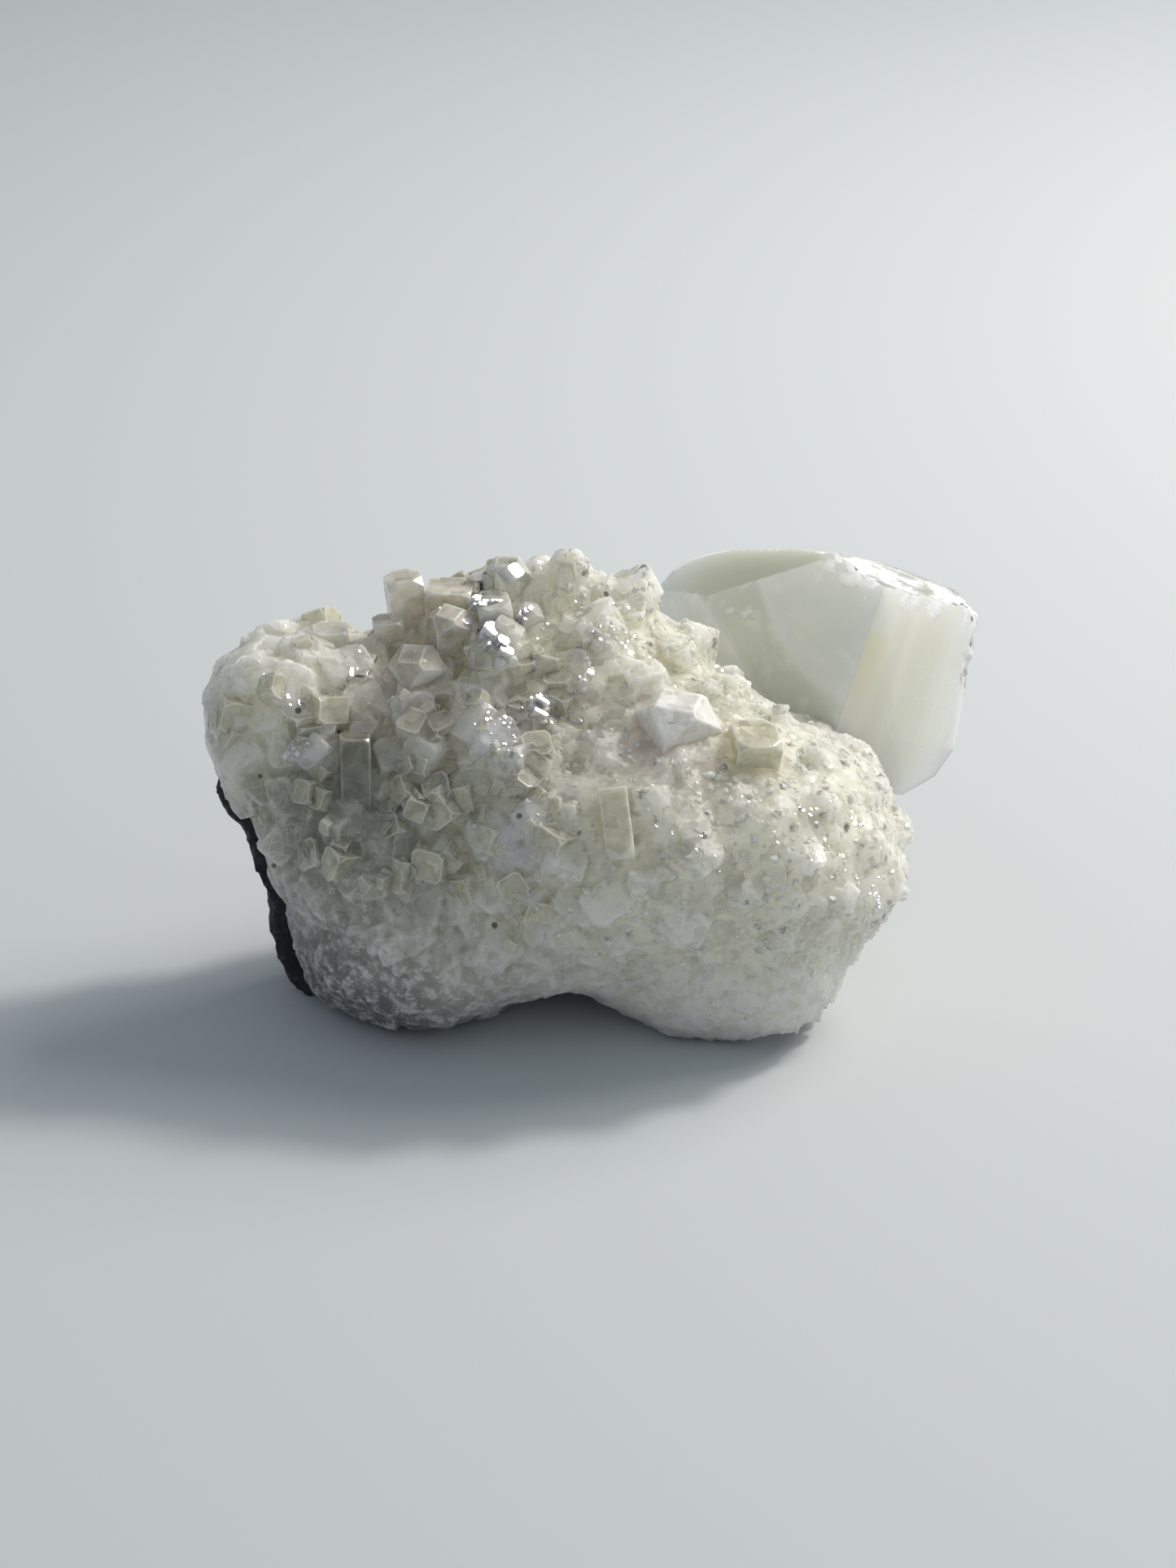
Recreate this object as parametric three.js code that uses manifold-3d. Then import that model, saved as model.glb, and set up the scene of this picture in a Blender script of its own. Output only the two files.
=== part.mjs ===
// An apophyllite specimen: a crust of small intergrown crystals on a remnant of dark basalt, with
// one large blocky crystal standing on its right shoulder and smaller clear ones along its crest.
// Millimetres, +Z up, +X to the right as the specimen is shown, +Y towards its back. The specimen
// rests on Z = 0, on two feet at the front and a wider one at the back.

import * as THREE from 'three';
import { ConvexGeometry } from 'three/addons/geometries/ConvexGeometry.js';
import { ImprovedNoise } from 'three/addons/math/ImprovedNoise.js';
import { mergeVertices } from 'three/addons/utils/BufferGeometryUtils.js';
import Module from 'manifold-3d';

const wasm = await Module();
wasm.setup();

// The middle of the specimen's box in the directions that its places are given in. The group is
// moved so that the origin lies there, on the surface it rests on.
const MIDDLE = new THREE.Vector3(0.5, 2.1, 0);

// Free space between a crystal and what it grows from, so that every piece is a solid of its own.
const GAP = 0.3;

// The rock is seen as a ball about one heart point, with its surface where the lumps' field ends.
const HEART = new THREE.Vector3(-1, 0, 12.5);
const CRUST_DETAIL = 11;
const BASALT_DETAIL = 10;
const BLEND = 0.9;
const FARTHEST = 34;
const STRIDE = 0.5;
const HALVINGS = 12;
// Two sizes of unevenness on the rock, in the spacing and the height of their swells.
const SWELLS = [
  { spacing: 4.2, height: 0.6, shift: 3.1 },
  { spacing: 2, height: 0.4, shift: 7.7 },
];
// More of the ball's triangles go to its two far ends.
const END_DENSITY = new THREE.Vector3(1.35, 1, 1.05);

const LUMPS = [
  { name: 'core', at: [0, 1, 13], radii: [16, 9.5, 10] },
  { name: 'left lobe', at: [-17.5, 1.5, 17.8], radii: [6.8, 6.4, 5.8] },
  { name: 'lobe top', at: [-19.9, 1.2, 19.4], radii: [3.6, 4.6, 4.3] },
  { name: 'left flank', at: [-13.2, 0, 12.6], radii: [8, 8.4, 7.4] },
  { name: 'left foot', at: [-11, -1.5, 5.6], radii: [8.4, 8.4, 6.6] },
  { name: 'left corner', at: [-15, 0, 4.5], radii: [4, 5, 4.6] },
  { name: 'crest', at: [-6, 3.5, 19], radii: [7.6, 6, 7.4] },
  { name: 'crest shoulder', at: [-0.2, 3.5, 19.4], radii: [7, 6, 6.8] },
  { name: 'front bulge', at: [3, -3, 13], radii: [12.5, 8.6, 7.4] },
  { name: 'underside', at: [-3, -2.5, 7.4], radii: [9, 7.4, 5.2] },
  { name: 'right mass', at: [10.9, -1.5, 11.6], radii: [7.9, 8.4, 6.9] },
  { name: 'right foot', at: [7.6, -3.4, 4.8], radii: [7.6, 6.6, 5.6] },
  { name: 'lower right corner', at: [12.1, -5.6, 4.4], radii: [3.4, 4.4, 4] },
  { name: 'right ledge', at: [15.6, -2.5, 8.8], radii: [4.4, 4.6, 3.4] },
  { name: 'crystal bed', at: [13, 4.6, 11.5], radii: [6.8, 7, 6.1] },
  { name: 'back', at: [0, 6, 11], radii: [14, 7, 8.8] },
  { name: 'back foot', at: [3.6, 7.6, 4.6], radii: [8.4, 5.2, 6] },
];

// The basalt fills the lower back left, behind one face and below another that the crust grew on.
const BASALT_FACES = [
  { name: 'behind the crust', at: [-21.5, -0.5, 9], normal: [0.3, -0.92, 0.14] },
  { name: 'below the crust', at: [-22.5, 1, 14.3], normal: [0.1, -0.1, 1] },
];
// It stands proud of the crust where both show, and broke along flat faces at the back.
const BASALT_PROUD = 0.7;
const BASALT_BREAKS = [
  { name: 'back', at: [0, 12, 8], normal: [0.15, 1, 0.2] },
  { name: 'back left', at: [-13, 8.5, 8], normal: [-0.55, 0.8, -0.2] },
  { name: 'back right', at: [11, 8, 6], normal: [0.8, 0.6, -0.3] },
  { name: 'left', at: [-21.8, 2, 8], normal: [-0.95, 0.3, -0.3] },
];

// The large crystal's corner where its top, its front and its right face meet.
const LARGE_CORNER = new THREE.Vector3(18.7, 5, 26.6);
const LARGE_AXIS = new THREE.Vector3(0.262, 0.344, 0.902).normalize();
const LARGE_RIGHT = new THREE.Vector3(0.594, 0.679, -0.431).normalize();
// Its other corners: back along the right face, left along the front face, up along the axis.
const LARGE_CORNERS = {
  'front top': [0, 0, 0],
  'front, pyramid begins': [0, 5.23, 0.56],
  'front, pyramid ends': [0, 13.29, -3.66],
  'front, narrow face ends': [0, 6.57, -8.61],
  'front, root': [0.8, 1.5, -13.4],
  'narrow face, foot': [1.52, 12.18, -10.22],
  'narrow face, left foot': [1.73, 17, -7.48],
  'narrow face, root': [3.5, 12, -13],
  'pyramid, far left': [1.1, 18.31, -4.11],
  'pyramid, left': [1.74, 17.88, -2.6],
  'pyramid, back left': [1.97, 17.19, -1.79],
  'pyramid, back': [1.97, 15.51, -0.91],
  'pyramid, upper back': [1.8, 13.54, -0.2],
  'pyramid, top': [0.85, 7.67, 0.97],
  'top, front': [0.14, 4.26, 1.34],
  'top, back left': [5.8, 12.1, 0.4],
  'top, back': [9.1, 6.6, 1.65],
  'top, back right': [11.8, 2.1, 1.15],
  'top, right': [11, 0, 0.4],
  'right top': [12.4, 0, -0.2],
  'right, upper edge': [12.95, 0, -3.3],
  'right, lower edge': [13.75, 0, -9.3],
  'right, broken corner': [12.4, 0, -11.3],
  'right, broken foot': [9, 0, -13],
  'back, lower right': [11.5, 4.2, -9.5],
  'back, lower left': [5, 13.2, -8.5],
};

// Crystals that are seen one by one. Each is a square prism with cut corners: where its root
// stands, the way it points, its turn about that way in degrees, half its two widths, its length
// to the shoulder, the rise of its corner faces, and how much of its point the flat top takes.
const GROWN_CRYSTALS = {
  crest_crystals: [
    { at: [-11.5, 3.4, 22.4], up: [-0.1, 0, 1], turn: 12,
      half: [1.15, 1.15], shoulder: 5.1, rise: 0.8, flat: -0.4 },
    { at: [-9, 3.2, 22.3], up: [0, -0.05, 1], turn: -6,
      half: [1.45, 1.3], shoulder: 4.9, rise: 0.7, flat: -0.6 },
    { at: [-9.2, 1.4, 21.8], up: [0.05, -0.3, 1], turn: 20,
      half: [1.15, 1.1], shoulder: 4.4, rise: 0.8, flat: 0.2 },
    { at: [-7.7, 1.4, 22.4], up: [0.1, -0.3, 1], turn: -15,
      half: [0.7, 0.7], shoulder: 2.8, rise: 0.6, flat: 0 },
    { at: [-12.8, 2.2, 21], up: [-0.05, 0, 1], turn: 8,
      half: [0.95, 0.95], shoulder: 4.2, rise: 0.6, flat: -0.5 },
    { at: [-10.4, 0.6, 20.2], up: [-0.2, -0.5, 1], turn: 28,
      half: [1.5, 1.4], shoulder: 3.7, rise: 1.1, flat: 0.3 },
  ],
  summit_crystals: [
    { at: [-5.4, 4, 24], up: [0, -0.12, 1], turn: 40,
      half: [1.1, 1.1], shoulder: 4.1, rise: 0.8, flat: 0.1 },
    { at: [-6.8, 3.8, 24], up: [-0.12, -0.1, 1], turn: 10,
      half: [0.75, 0.7], shoulder: 3.5, rise: 0.5, flat: 0 },
    { at: [-6.3, 2.4, 22.8], up: [0, -0.35, 1], turn: 16,
      half: [1.1, 0.95], shoulder: 4.4, rise: 0.7, flat: -0.4 },
    { at: [-4.4, 2.4, 23], up: [0.12, -0.35, 1], turn: 35,
      half: [0.75, 0.7], shoulder: 3.3, rise: 0.6, flat: 0.3 },
  ],
  lobe_crystals: [
    { at: [-16.7, 2.4, 20], up: [0, -0.02, 1], turn: 10,
      half: [1.1, 1.05], shoulder: 4.6, rise: 0.6, flat: -0.6 },
    { at: [-18.3, 2, 20.4], up: [-0.25, -0.1, 1], turn: 30,
      half: [0.85, 0.8], shoulder: 3.4, rise: 0.6, flat: 0.2 },
  ],
  notch_crystal: [
    { at: [-14.8, 0.4, 18.7], up: [-0.05, -0.2, 1], turn: 33,
      half: [1.75, 1.65], shoulder: 3.5, rise: 1.45, flat: 0.05 },
  ],
  left_crystal: [
    { at: [-14.8, -5.7, 15], up: [0, 0.1, 1], turn: 6,
      half: [0.95, 0.95], shoulder: 5.4, rise: 0.6, flat: -0.5 },
  ],
  middle_crystal: [
    { at: [4.6, -3.4, 16], up: [0.12, -0.12, 1], turn: 34,
      half: [2.2, 2], shoulder: 5.2, rise: 1.3, flat: 0.2 },
  ],
  shoulder_crystal: [
    { at: [9.7, -4, 16.2], up: [0.12, -0.25, 1], turn: 12,
      half: [1.45, 1.4], shoulder: 4.4, rise: 0.8, flat: -0.5 },
  ],
  hanging_crystal: [
    { at: [1.2, -9.2, 18.8], up: [0.12, -0.6, -0.76], turn: 20,
      half: [0.9, 0.75], shoulder: 3.7, rise: 0.7, flat: 0 },
  ],
};

// The rounded knobs of the crest right of its summit, fused to the crust.
const CREST_KNOBS = [
  { at: [-2.9, 4, 24.4], up: [-0.1, 0, 1], turn: 20,
    half: [1.1, 1.1], shoulder: 3.4, rise: 0.8, flat: -0.3 },
  { at: [-1.5, 4.2, 24.5], up: [0, 0, 1], turn: 50,
    half: [1.35, 1.25], shoulder: 3.9, rise: 1, flat: 0.1 },
  { at: [-0.2, 3.9, 24.2], up: [0.15, 0, 1], turn: 10,
    half: [1, 1], shoulder: 3.3, rise: 0.7, flat: -0.4 },
  { at: [1.2, 4, 23.8], up: [0, -0.1, 1], turn: 60,
    half: [1, 0.9], shoulder: 2.6, rise: 0.7, flat: 0.2 },
  { at: [2.9, 4.2, 23.4], up: [0.1, 0, 1], turn: 30,
    half: [0.9, 0.9], shoulder: 3.5, rise: 0.6, flat: 0 },
];

// Small crystals fused to the crust, spread evenly over it by a spiral of directions. The powdery
// lower part has none, nor have the places near the basalt and the single crystals. Half their
// widths go from the least to that and more, with the blocky ones of the left and the crest bigger
// still. Depth, length and rise are in half widths.
const SMALL_CRYSTALS = {
  directions: 172,
  lowest: 8,
  fromBasalt: 2.4,
  fromGrown: 0.7,
  fromLarge: 1.8,
  least: 0.7,
  more: 0.5,
  blocky: { extra: 0.4, leftOf: -3, above: 22 },
  depth: 1.6,
  length: 1.8,
  rise: 0.4,
  tilt: 0.7,
};

const noise = new ImprovedNoise();

/** How far the swells raise the rock at a point. */
function unevenness(point) {
  return SWELLS.reduce((sum, { spacing, height, shift }) => {
    const at = point.clone().divideScalar(spacing).add(new THREE.Vector3(shift, -shift, shift / 2));
    return sum + height * noise.noise(at.x, at.y, at.z);
  }, 0);
}

/** The rock's field at a point, negative inside: every lump's depth, blended where lumps meet. */
function rockField(point) {
  let sum = 0;
  for (const { at, radii } of LUMPS) {
    const away = Math.hypot(
      (point.x - at[0]) / radii[0],
      (point.y - at[1]) / radii[1],
      (point.z - at[2]) / radii[2],
    );
    sum += Math.exp((1 - away) * Math.min(...radii) / BLEND);
  }
  return -BLEND * Math.log(sum);
}

/** The distance from the heart to the outermost surface along a direction. */
function rockRadius(direction) {
  const at = (radius) => direction.clone().multiplyScalar(radius).add(HEART);
  let inside = FARTHEST;
  while (rockField(at(inside)) > 0) inside -= STRIDE;
  let outside = inside + STRIDE;
  for (let i = 0; i < HALVINGS; i += 1) {
    const middle = (inside + outside) / 2;
    if (rockField(at(middle)) > 0) outside = middle;
    else inside = middle;
  }
  return inside + unevenness(at(inside));
}

/** A closed ball about the heart whose surface lies at radiusAt(direction). */
function ballAbout(radiusAt, detail) {
  const geometry = new THREE.IcosahedronGeometry(1, detail);
  const places = geometry.getAttribute('position');
  const direction = new THREE.Vector3();
  for (let i = 0; i < places.count; i += 1) {
    direction.fromBufferAttribute(places, i).multiply(END_DENSITY).normalize();
    const point = direction.clone().multiplyScalar(radiusAt(direction)).add(HEART);
    places.setXYZ(i, point.x, point.y, point.z);
  }
  return geometry;
}

/** A closed geometry as a solid that can be joined and cut. */
function solidOf(geometry) {
  const bare = new THREE.BufferGeometry();
  bare.setAttribute('position', geometry.getAttribute('position'));
  bare.setIndex(geometry.index);
  const merged = mergeVertices(bare, 1e-4);
  return new wasm.Manifold(new wasm.Mesh({
    numProp: 3,
    vertProperties: new Float32Array(merged.getAttribute('position').array),
    triVerts: new Uint32Array(merged.index.array),
  }));
}

/** A solid as flat-faced geometry. */
function geometryOf(solid) {
  const { vertProperties, triVerts } = solid.getMesh();
  const geometry = new THREE.BufferGeometry();
  geometry.setAttribute('position', new THREE.BufferAttribute(vertProperties, 3));
  geometry.setIndex(new THREE.BufferAttribute(triVerts, 1));
  const flat = geometry.toNonIndexed();
  flat.computeVertexNormals();
  return flat;
}

/** A solid box between two corners. */
function boxBetween(low, high) {
  const size = new THREE.Vector3(...high).sub(new THREE.Vector3(...low));
  const centre = new THREE.Vector3(...low).addScaledVector(size, 0.5);
  return solidOf(new THREE.BoxGeometry(...size.toArray()).translate(...centre.toArray()));
}

/** The part of a solid that lies behind every one of some faces, moved out by a distance. */
function behindFaces(solid, faces, distance) {
  return faces.reduce((kept, { at, normal }) => {
    const inward = new THREE.Vector3(...normal).normalize().negate();
    return kept.trimByPlane(inward.toArray(), inward.dot(new THREE.Vector3(...at)) - distance);
  }, solid);
}

/** A solid's largest piece, without the crumbs that a cut left. */
function largestPiece(solid) {
  return solid.decompose().sort((a, b) => b.volume() - a.volume())[0];
}

/** The turn and move that take +Z to a direction, after a turn about it, and the origin to a place. */
function standing(at, up, turn) {
  const way = new THREE.Vector3(...up).normalize();
  const upright = new THREE.Vector3(0, 0, 1);
  const lean = new THREE.Quaternion().setFromUnitVectors(upright, way);
  const spin = new THREE.Quaternion().setFromAxisAngle(upright, THREE.MathUtils.degToRad(turn));
  return new THREE.Matrix4().makeRotationFromQuaternion(lean.multiply(spin)).setPosition(...at);
}

/** Corners of a square prism with cut corners and, above its shoulder, a pyramid with a flat top. */
function crystalCorners({ half: [a, b], shoulder, rise, flat }) {
  const corners = [];
  for (const x of [-a, a]) {
    for (const y of [-b, b]) corners.push([x, y, 0], [x, y, shoulder]);
  }
  const top = shoulder + rise * (1 + flat);
  for (const side of [-1, 1]) {
    if (flat < 0) {
      for (const other of [-1, 1]) {
        corners.push([side * a, -other * b * flat, top], [-side * a * flat, other * b, top]);
      }
    } else {
      corners.push([side * a, 0, shoulder + rise], [0, side * b, shoulder + rise]);
      corners.push([side * a * (1 - flat), 0, top], [0, side * b * (1 - flat), top]);
    }
  }
  return corners.map((corner) => new THREE.Vector3(...corner));
}

/** Corners moved out by a distance along every one of their own axes. */
function spreadCorners(corners, distance) {
  const spread = [];
  for (const corner of corners) {
    for (const x of [-distance, distance]) {
      for (const y of [-distance, distance]) {
        for (const z of [-distance, distance]) {
          spread.push(corner.clone().add(new THREE.Vector3(x, y, z)));
        }
      }
    }
  }
  return spread;
}

/** The convex solid of some corners, put in place, and the pocket that leaves a gap around it. */
function crystalAndPocket(corners, place) {
  return {
    solid: solidOf(new ConvexGeometry(corners).applyMatrix4(place)),
    pocket: solidOf(new ConvexGeometry(spreadCorners(corners, GAP)).applyMatrix4(place)),
  };
}

/** The move from the large crystal's own directions to its place. */
function largePlace() {
  const left = new THREE.Vector3().crossVectors(LARGE_AXIS, LARGE_RIGHT).normalize();
  const right = new THREE.Vector3().crossVectors(left, LARGE_AXIS);
  return new THREE.Matrix4().makeBasis(right, left, LARGE_AXIS).setPosition(LARGE_CORNER);
}

/** The large crystal's corners in its own directions. */
function largeCorners() {
  return Object.values(LARGE_CORNERS).map((corner) => new THREE.Vector3(...corner));
}

/** One crystal of a given form, with its pocket. */
function crystal(spec) {
  return crystalAndPocket(crystalCorners(spec), standing(spec.at, spec.up, spec.turn));
}

/** A group of crystals that grew into one another, as one solid and one pocket. */
function grownTogether(specs) {
  const parts = specs.map(crystal);
  return {
    solid: wasm.Manifold.union(parts.map((part) => part.solid)),
    pocket: wasm.Manifold.union(parts.map((part) => part.pocket)),
  };
}

/** A number from 0 to 1 that only depends on which crystal it is for and what it is used for. */
function chance(index, use) {
  const wave = Math.sin((index + 1) * 12.9 + use * 78.2) * 43758;
  return wave - Math.floor(wave);
}

/** The direction that the rock's surface faces at a point. */
function facing(point) {
  const step = 0.4;
  const slope = (x, y, z) => {
    const move = new THREE.Vector3(x, y, z).multiplyScalar(step);
    return rockField(point.clone().add(move)) - rockField(point.clone().sub(move));
  };
  return new THREE.Vector3(slope(1, 0, 0), slope(0, 1, 0), slope(0, 0, 1)).normalize();
}

/** Whether a point is close to where the basalt comes out from under the crust. */
function nearBasalt(point) {
  return BASALT_FACES.every(({ at, normal }) => {
    const outward = new THREE.Vector3(...normal).normalize();
    return outward.dot(point.clone().sub(new THREE.Vector3(...at))) < SMALL_CRYSTALS.fromBasalt;
  });
}

/** Whether a point is close to a crystal that is a piece of its own. */
function nearGrown(point) {
  const margin = SMALL_CRYSTALS.fromGrown;
  const largeBox = new THREE.Box3().setFromPoints(largeCorners());
  largeBox.expandByScalar(SMALL_CRYSTALS.fromLarge);
  if (largeBox.containsPoint(point.clone().applyMatrix4(largePlace().invert()))) return true;
  return Object.values(GROWN_CRYSTALS).flat().some(({ at, up, shoulder, rise, half }) => {
    const root = new THREE.Vector3(...at);
    const tip = new THREE.Vector3(...up).normalize().multiplyScalar(shoulder + rise).add(root);
    const nearest = new THREE.Line3(root, tip).closestPointToPoint(point, true, new THREE.Vector3());
    return nearest.distanceTo(point) < half[0] + margin;
  });
}

/** The small crystals that are fused to the crust. */
function smallCrystals() {
  const golden = Math.PI * (3 - Math.sqrt(5));
  const found = [];
  for (let i = 0; i < SMALL_CRYSTALS.directions; i += 1) {
    const height = 1 - (2 * i + 1) / SMALL_CRYSTALS.directions;
    const across = Math.sqrt(1 - height * height);
    const turn = golden * i;
    const direction = new THREE.Vector3(across * Math.cos(turn), across * Math.sin(turn), height);
    direction.multiply(END_DENSITY).normalize();
    const point = direction.clone().multiplyScalar(rockRadius(direction)).add(HEART);
    if (point.z < SMALL_CRYSTALS.lowest || nearBasalt(point) || nearGrown(point)) continue;
    const { blocky, least, more, depth, length, rise, tilt } = SMALL_CRYSTALS;
    const extra = point.x < blocky.leftOf || point.z > blocky.above ? blocky.extra : 0;
    const half = least + extra + more * chance(i, 1);
    const sway = new THREE.Vector3(chance(i, 2) - 0.5, chance(i, 3) - 0.5, chance(i, 4));
    const up = facing(point).addScaledVector(sway, tilt).normalize();
    const spec = {
      at: point.clone().addScaledVector(up, -depth * half).toArray(),
      up: up.toArray(),
      turn: 90 * chance(i, 5),
      half: [half, half * (0.8 + 0.2 * chance(i, 6))],
      shoulder: length * half,
      rise: rise * half,
      flat: 0.9 * chance(i, 7) - 0.5,
    };
    found.push(crystal(spec).solid);
  }
  return found;
}


const specimen = new THREE.Group();
specimen.position.copy(MIDDLE).negate();

/** Adds one named sub-part to the specimen. */
function addPart(name, solid, color, roughness) {
  const material = new THREE.MeshStandardMaterial({ color, roughness, metalness: 0 });
  const mesh = new THREE.Mesh(geometryOf(solid), material);
  mesh.name = name;
  specimen.add(mesh);
}

const belowTable = boxBetween([-60, -60, -40], [60, 60, 0]);
const everywhere = boxBetween([-60, -60, -40], [60, 60, 60]);

const knobs = CREST_KNOBS.map((spec) => crystal(spec).solid);
const bareCrust = solidOf(ballAbout(rockRadius, CRUST_DETAIL));
let crust = wasm.Manifold.union([bareCrust, ...knobs, ...smallCrystals()]);
crust = crust.subtract(belowTable).subtract(behindFaces(everywhere, BASALT_FACES, GAP));

let basalt = solidOf(ballAbout((direction) => rockRadius(direction) + BASALT_PROUD, BASALT_DETAIL));
basalt = behindFaces(basalt.subtract(belowTable), [...BASALT_FACES, ...BASALT_BREAKS], 0);

// Each crystal or cluster stops against the ones before it, and the rock stops against them all.
const pieces = { large_crystal: crystalAndPocket(largeCorners(), largePlace()) };
for (const [name, specs] of Object.entries(GROWN_CRYSTALS)) {
  const piece = grownTogether(specs);
  for (const { pocket } of Object.values(pieces)) piece.solid = piece.solid.subtract(pocket);
  pieces[name] = piece;
}
for (const { pocket } of Object.values(pieces)) {
  crust = crust.subtract(pocket);
  basalt = basalt.subtract(pocket);
}

addPart('basalt_matrix', largestPiece(basalt), '#3b3d3d', 0.9);
addPart('crystal_crust', largestPiece(crust), '#b9b8aa', 0.5);
for (const [name, { solid }] of Object.entries(pieces)) addPart(name, largestPiece(solid), '#c9c9b4', 0.15);

export default specimen;
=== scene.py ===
"""An apophyllite specimen: a crust of intergrown crystals on a scrap of basalt, with one large crystal.

Lengths are in metres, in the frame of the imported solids: +Z is up, the specimen stands on Z = 0 and faces -Y.
"""

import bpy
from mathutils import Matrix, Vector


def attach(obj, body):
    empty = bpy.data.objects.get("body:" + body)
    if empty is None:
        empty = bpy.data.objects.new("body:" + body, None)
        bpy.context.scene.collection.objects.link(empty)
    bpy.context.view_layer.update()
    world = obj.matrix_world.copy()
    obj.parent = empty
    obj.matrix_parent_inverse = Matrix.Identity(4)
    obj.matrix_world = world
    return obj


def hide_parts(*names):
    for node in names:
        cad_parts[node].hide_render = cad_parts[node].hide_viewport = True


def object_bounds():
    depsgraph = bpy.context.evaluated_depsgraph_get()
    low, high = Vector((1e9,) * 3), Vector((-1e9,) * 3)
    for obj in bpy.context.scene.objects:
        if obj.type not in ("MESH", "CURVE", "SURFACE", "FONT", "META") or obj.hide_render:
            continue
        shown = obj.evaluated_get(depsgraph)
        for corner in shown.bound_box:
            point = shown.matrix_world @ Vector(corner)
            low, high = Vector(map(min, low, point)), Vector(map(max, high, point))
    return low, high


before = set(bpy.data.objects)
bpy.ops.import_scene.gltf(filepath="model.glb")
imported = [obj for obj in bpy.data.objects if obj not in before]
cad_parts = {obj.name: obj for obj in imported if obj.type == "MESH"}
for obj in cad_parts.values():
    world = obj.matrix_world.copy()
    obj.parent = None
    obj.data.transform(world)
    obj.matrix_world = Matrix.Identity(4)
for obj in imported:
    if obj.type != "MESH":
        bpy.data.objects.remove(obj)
PACKED_BOUNDS = [list(corner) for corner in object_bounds()]

import logging
import math
from dataclasses import dataclass
from enum import Enum
from functools import partial
from itertools import product
from typing import Callable, Iterable, Sequence

import bpy
import numpy as np
from mathutils import Matrix, Quaternion, Vector, noise
from mathutils.bvhtree import BVHTree
from mathutils.kdtree import KDTree

log = logging.getLogger("specimen")

MM = 0.001
BODY = "root"
PACKED_BOX = np.array(PACKED_BOUNDS)
PHOTO_WIDTH, PHOTO_HEIGHT = 1445, 1927
IOR = 1.535
TOLERANCE = 0.02 * MM

# The crust is told by directions from this point deep in it, and this ball holds all of it.
HEART = Vector((-1.5, -2.1, 12.5)) * MM
FARTHEST = 36 * MM

# The large crystal: its front top corner, its long axis, and the way that its front edge goes to the right.
LARGE_CORNER = Vector((18.2, 2.9, 26.6)) * MM
LARGE_AXIS = Vector((0.262, 0.344, 0.902)).normalized()
LARGE_LEFT = LARGE_AXIS.cross(Vector((0.594, 0.679, -0.431))).normalized()
LARGE_RIGHT = LARGE_LEFT.cross(LARGE_AXIS)

# The key light's direction and distance from the middle of the picture.
KEY_FROM = Vector((0.92, 0.54, 1.0)).normalized()
KEY_DISTANCE = 0.45

# A small crystal one unit wide and tall: its cuts start at this height, with these slopes, and its rim is this wide.
CUT_HEIGHT = 0.72
PYRAMID_SLOPE = 1.5
CORNER_SLOPE = 0.62
RIM_WIDTH, RIM_DEPTH = 0.09, 0.012
FOUR_SIDES = ((1, 0), (-1, 0), (0, 1), (0, -1))
FOUR_CORNERS = ((-1, -1), (-1, 1), (1, -1), (1, 1))

# Settings of the nodes that put two values together. The numbers stay between 0 and 1.
TIMES = {"operation": "MULTIPLY", "use_clamp": True}
PLUS = {"operation": "ADD", "use_clamp": True}
GREATER = {"operation": "MAXIMUM", "use_clamp": True}
BLEND = {"data_type": "RGBA"}

Socket = bpy.types.NodeSocket
AddNode = Callable[..., Socket]
Pixel = tuple[float, float]


class Habit(Enum):
    """How a small crystal has grown."""

    BLOCK = "a square block whose top corners are cut"
    RIMMED_BLOCK = "the same block, its faces sunk a little within their edges"
    GRAIN = "a stubby prism under a low pyramid"


class Slot(Enum):
    """The record's material slots."""

    BASALT = "basalt"
    CRUST = "crust"
    LARGE = "large_crystal"
    SMOKY = "smoky_crystal"
    CLEAR = "clear_crystal"
    YELLOW = "yellow_crystal"


# Small tools for meshes


def take_up(thing: bpy.types.Object) -> None:
    """Makes an object the only one selected, and the active one.

    Args:
        thing: The object that the next operators work on.
    """
    if bpy.context.object and bpy.context.object.mode != "OBJECT":
        bpy.ops.object.mode_set(mode="OBJECT")
    bpy.ops.object.select_all(action="DESELECT")
    thing.select_set(True)
    bpy.context.view_layer.objects.active = thing


def points_of(thing: bpy.types.Object) -> np.ndarray:
    """Reads the places of a mesh's vertices.

    Args:
        thing: The object.

    Returns:
        One row for each vertex.
    """
    places = np.empty(len(thing.data.vertices) * 3)
    thing.data.vertices.foreach_get("co", places)
    return places.reshape(-1, 3)


def normals_of(thing: bpy.types.Object) -> np.ndarray:
    """Reads the vertex normals of a mesh.

    Args:
        thing: The object.

    Returns:
        One row for each vertex.
    """
    normals = np.empty(len(thing.data.vertices) * 3, np.float32)
    thing.data.vertex_normals.foreach_get("vector", normals)
    return normals.reshape(-1, 3).astype(float)


def edges_of(thing: bpy.types.Object) -> np.ndarray:
    """Reads which vertices a mesh's edges join.

    Args:
        thing: The object.

    Returns:
        The first vertex of each edge in one row and the second in another.
    """
    ends = np.empty(len(thing.data.edges) * 2, np.int32)
    thing.data.edges.foreach_get("vertices", ends)
    return ends.reshape(-1, 2).T


def move_points(thing: bpy.types.Object, places: np.ndarray) -> None:
    """Puts a mesh's vertices at new places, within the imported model's box.

    Args:
        thing: The object whose mesh changes.
        places: One row for each vertex.
    """
    low = PACKED_BOX[0] + TOLERANCE * np.array((1, 1, 0))
    kept = np.clip(places, low, PACKED_BOX[1] - TOLERANCE)
    thing.data.vertices.foreach_set("co", kept.astype(np.float32).ravel())
    thing.data.update()


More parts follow.
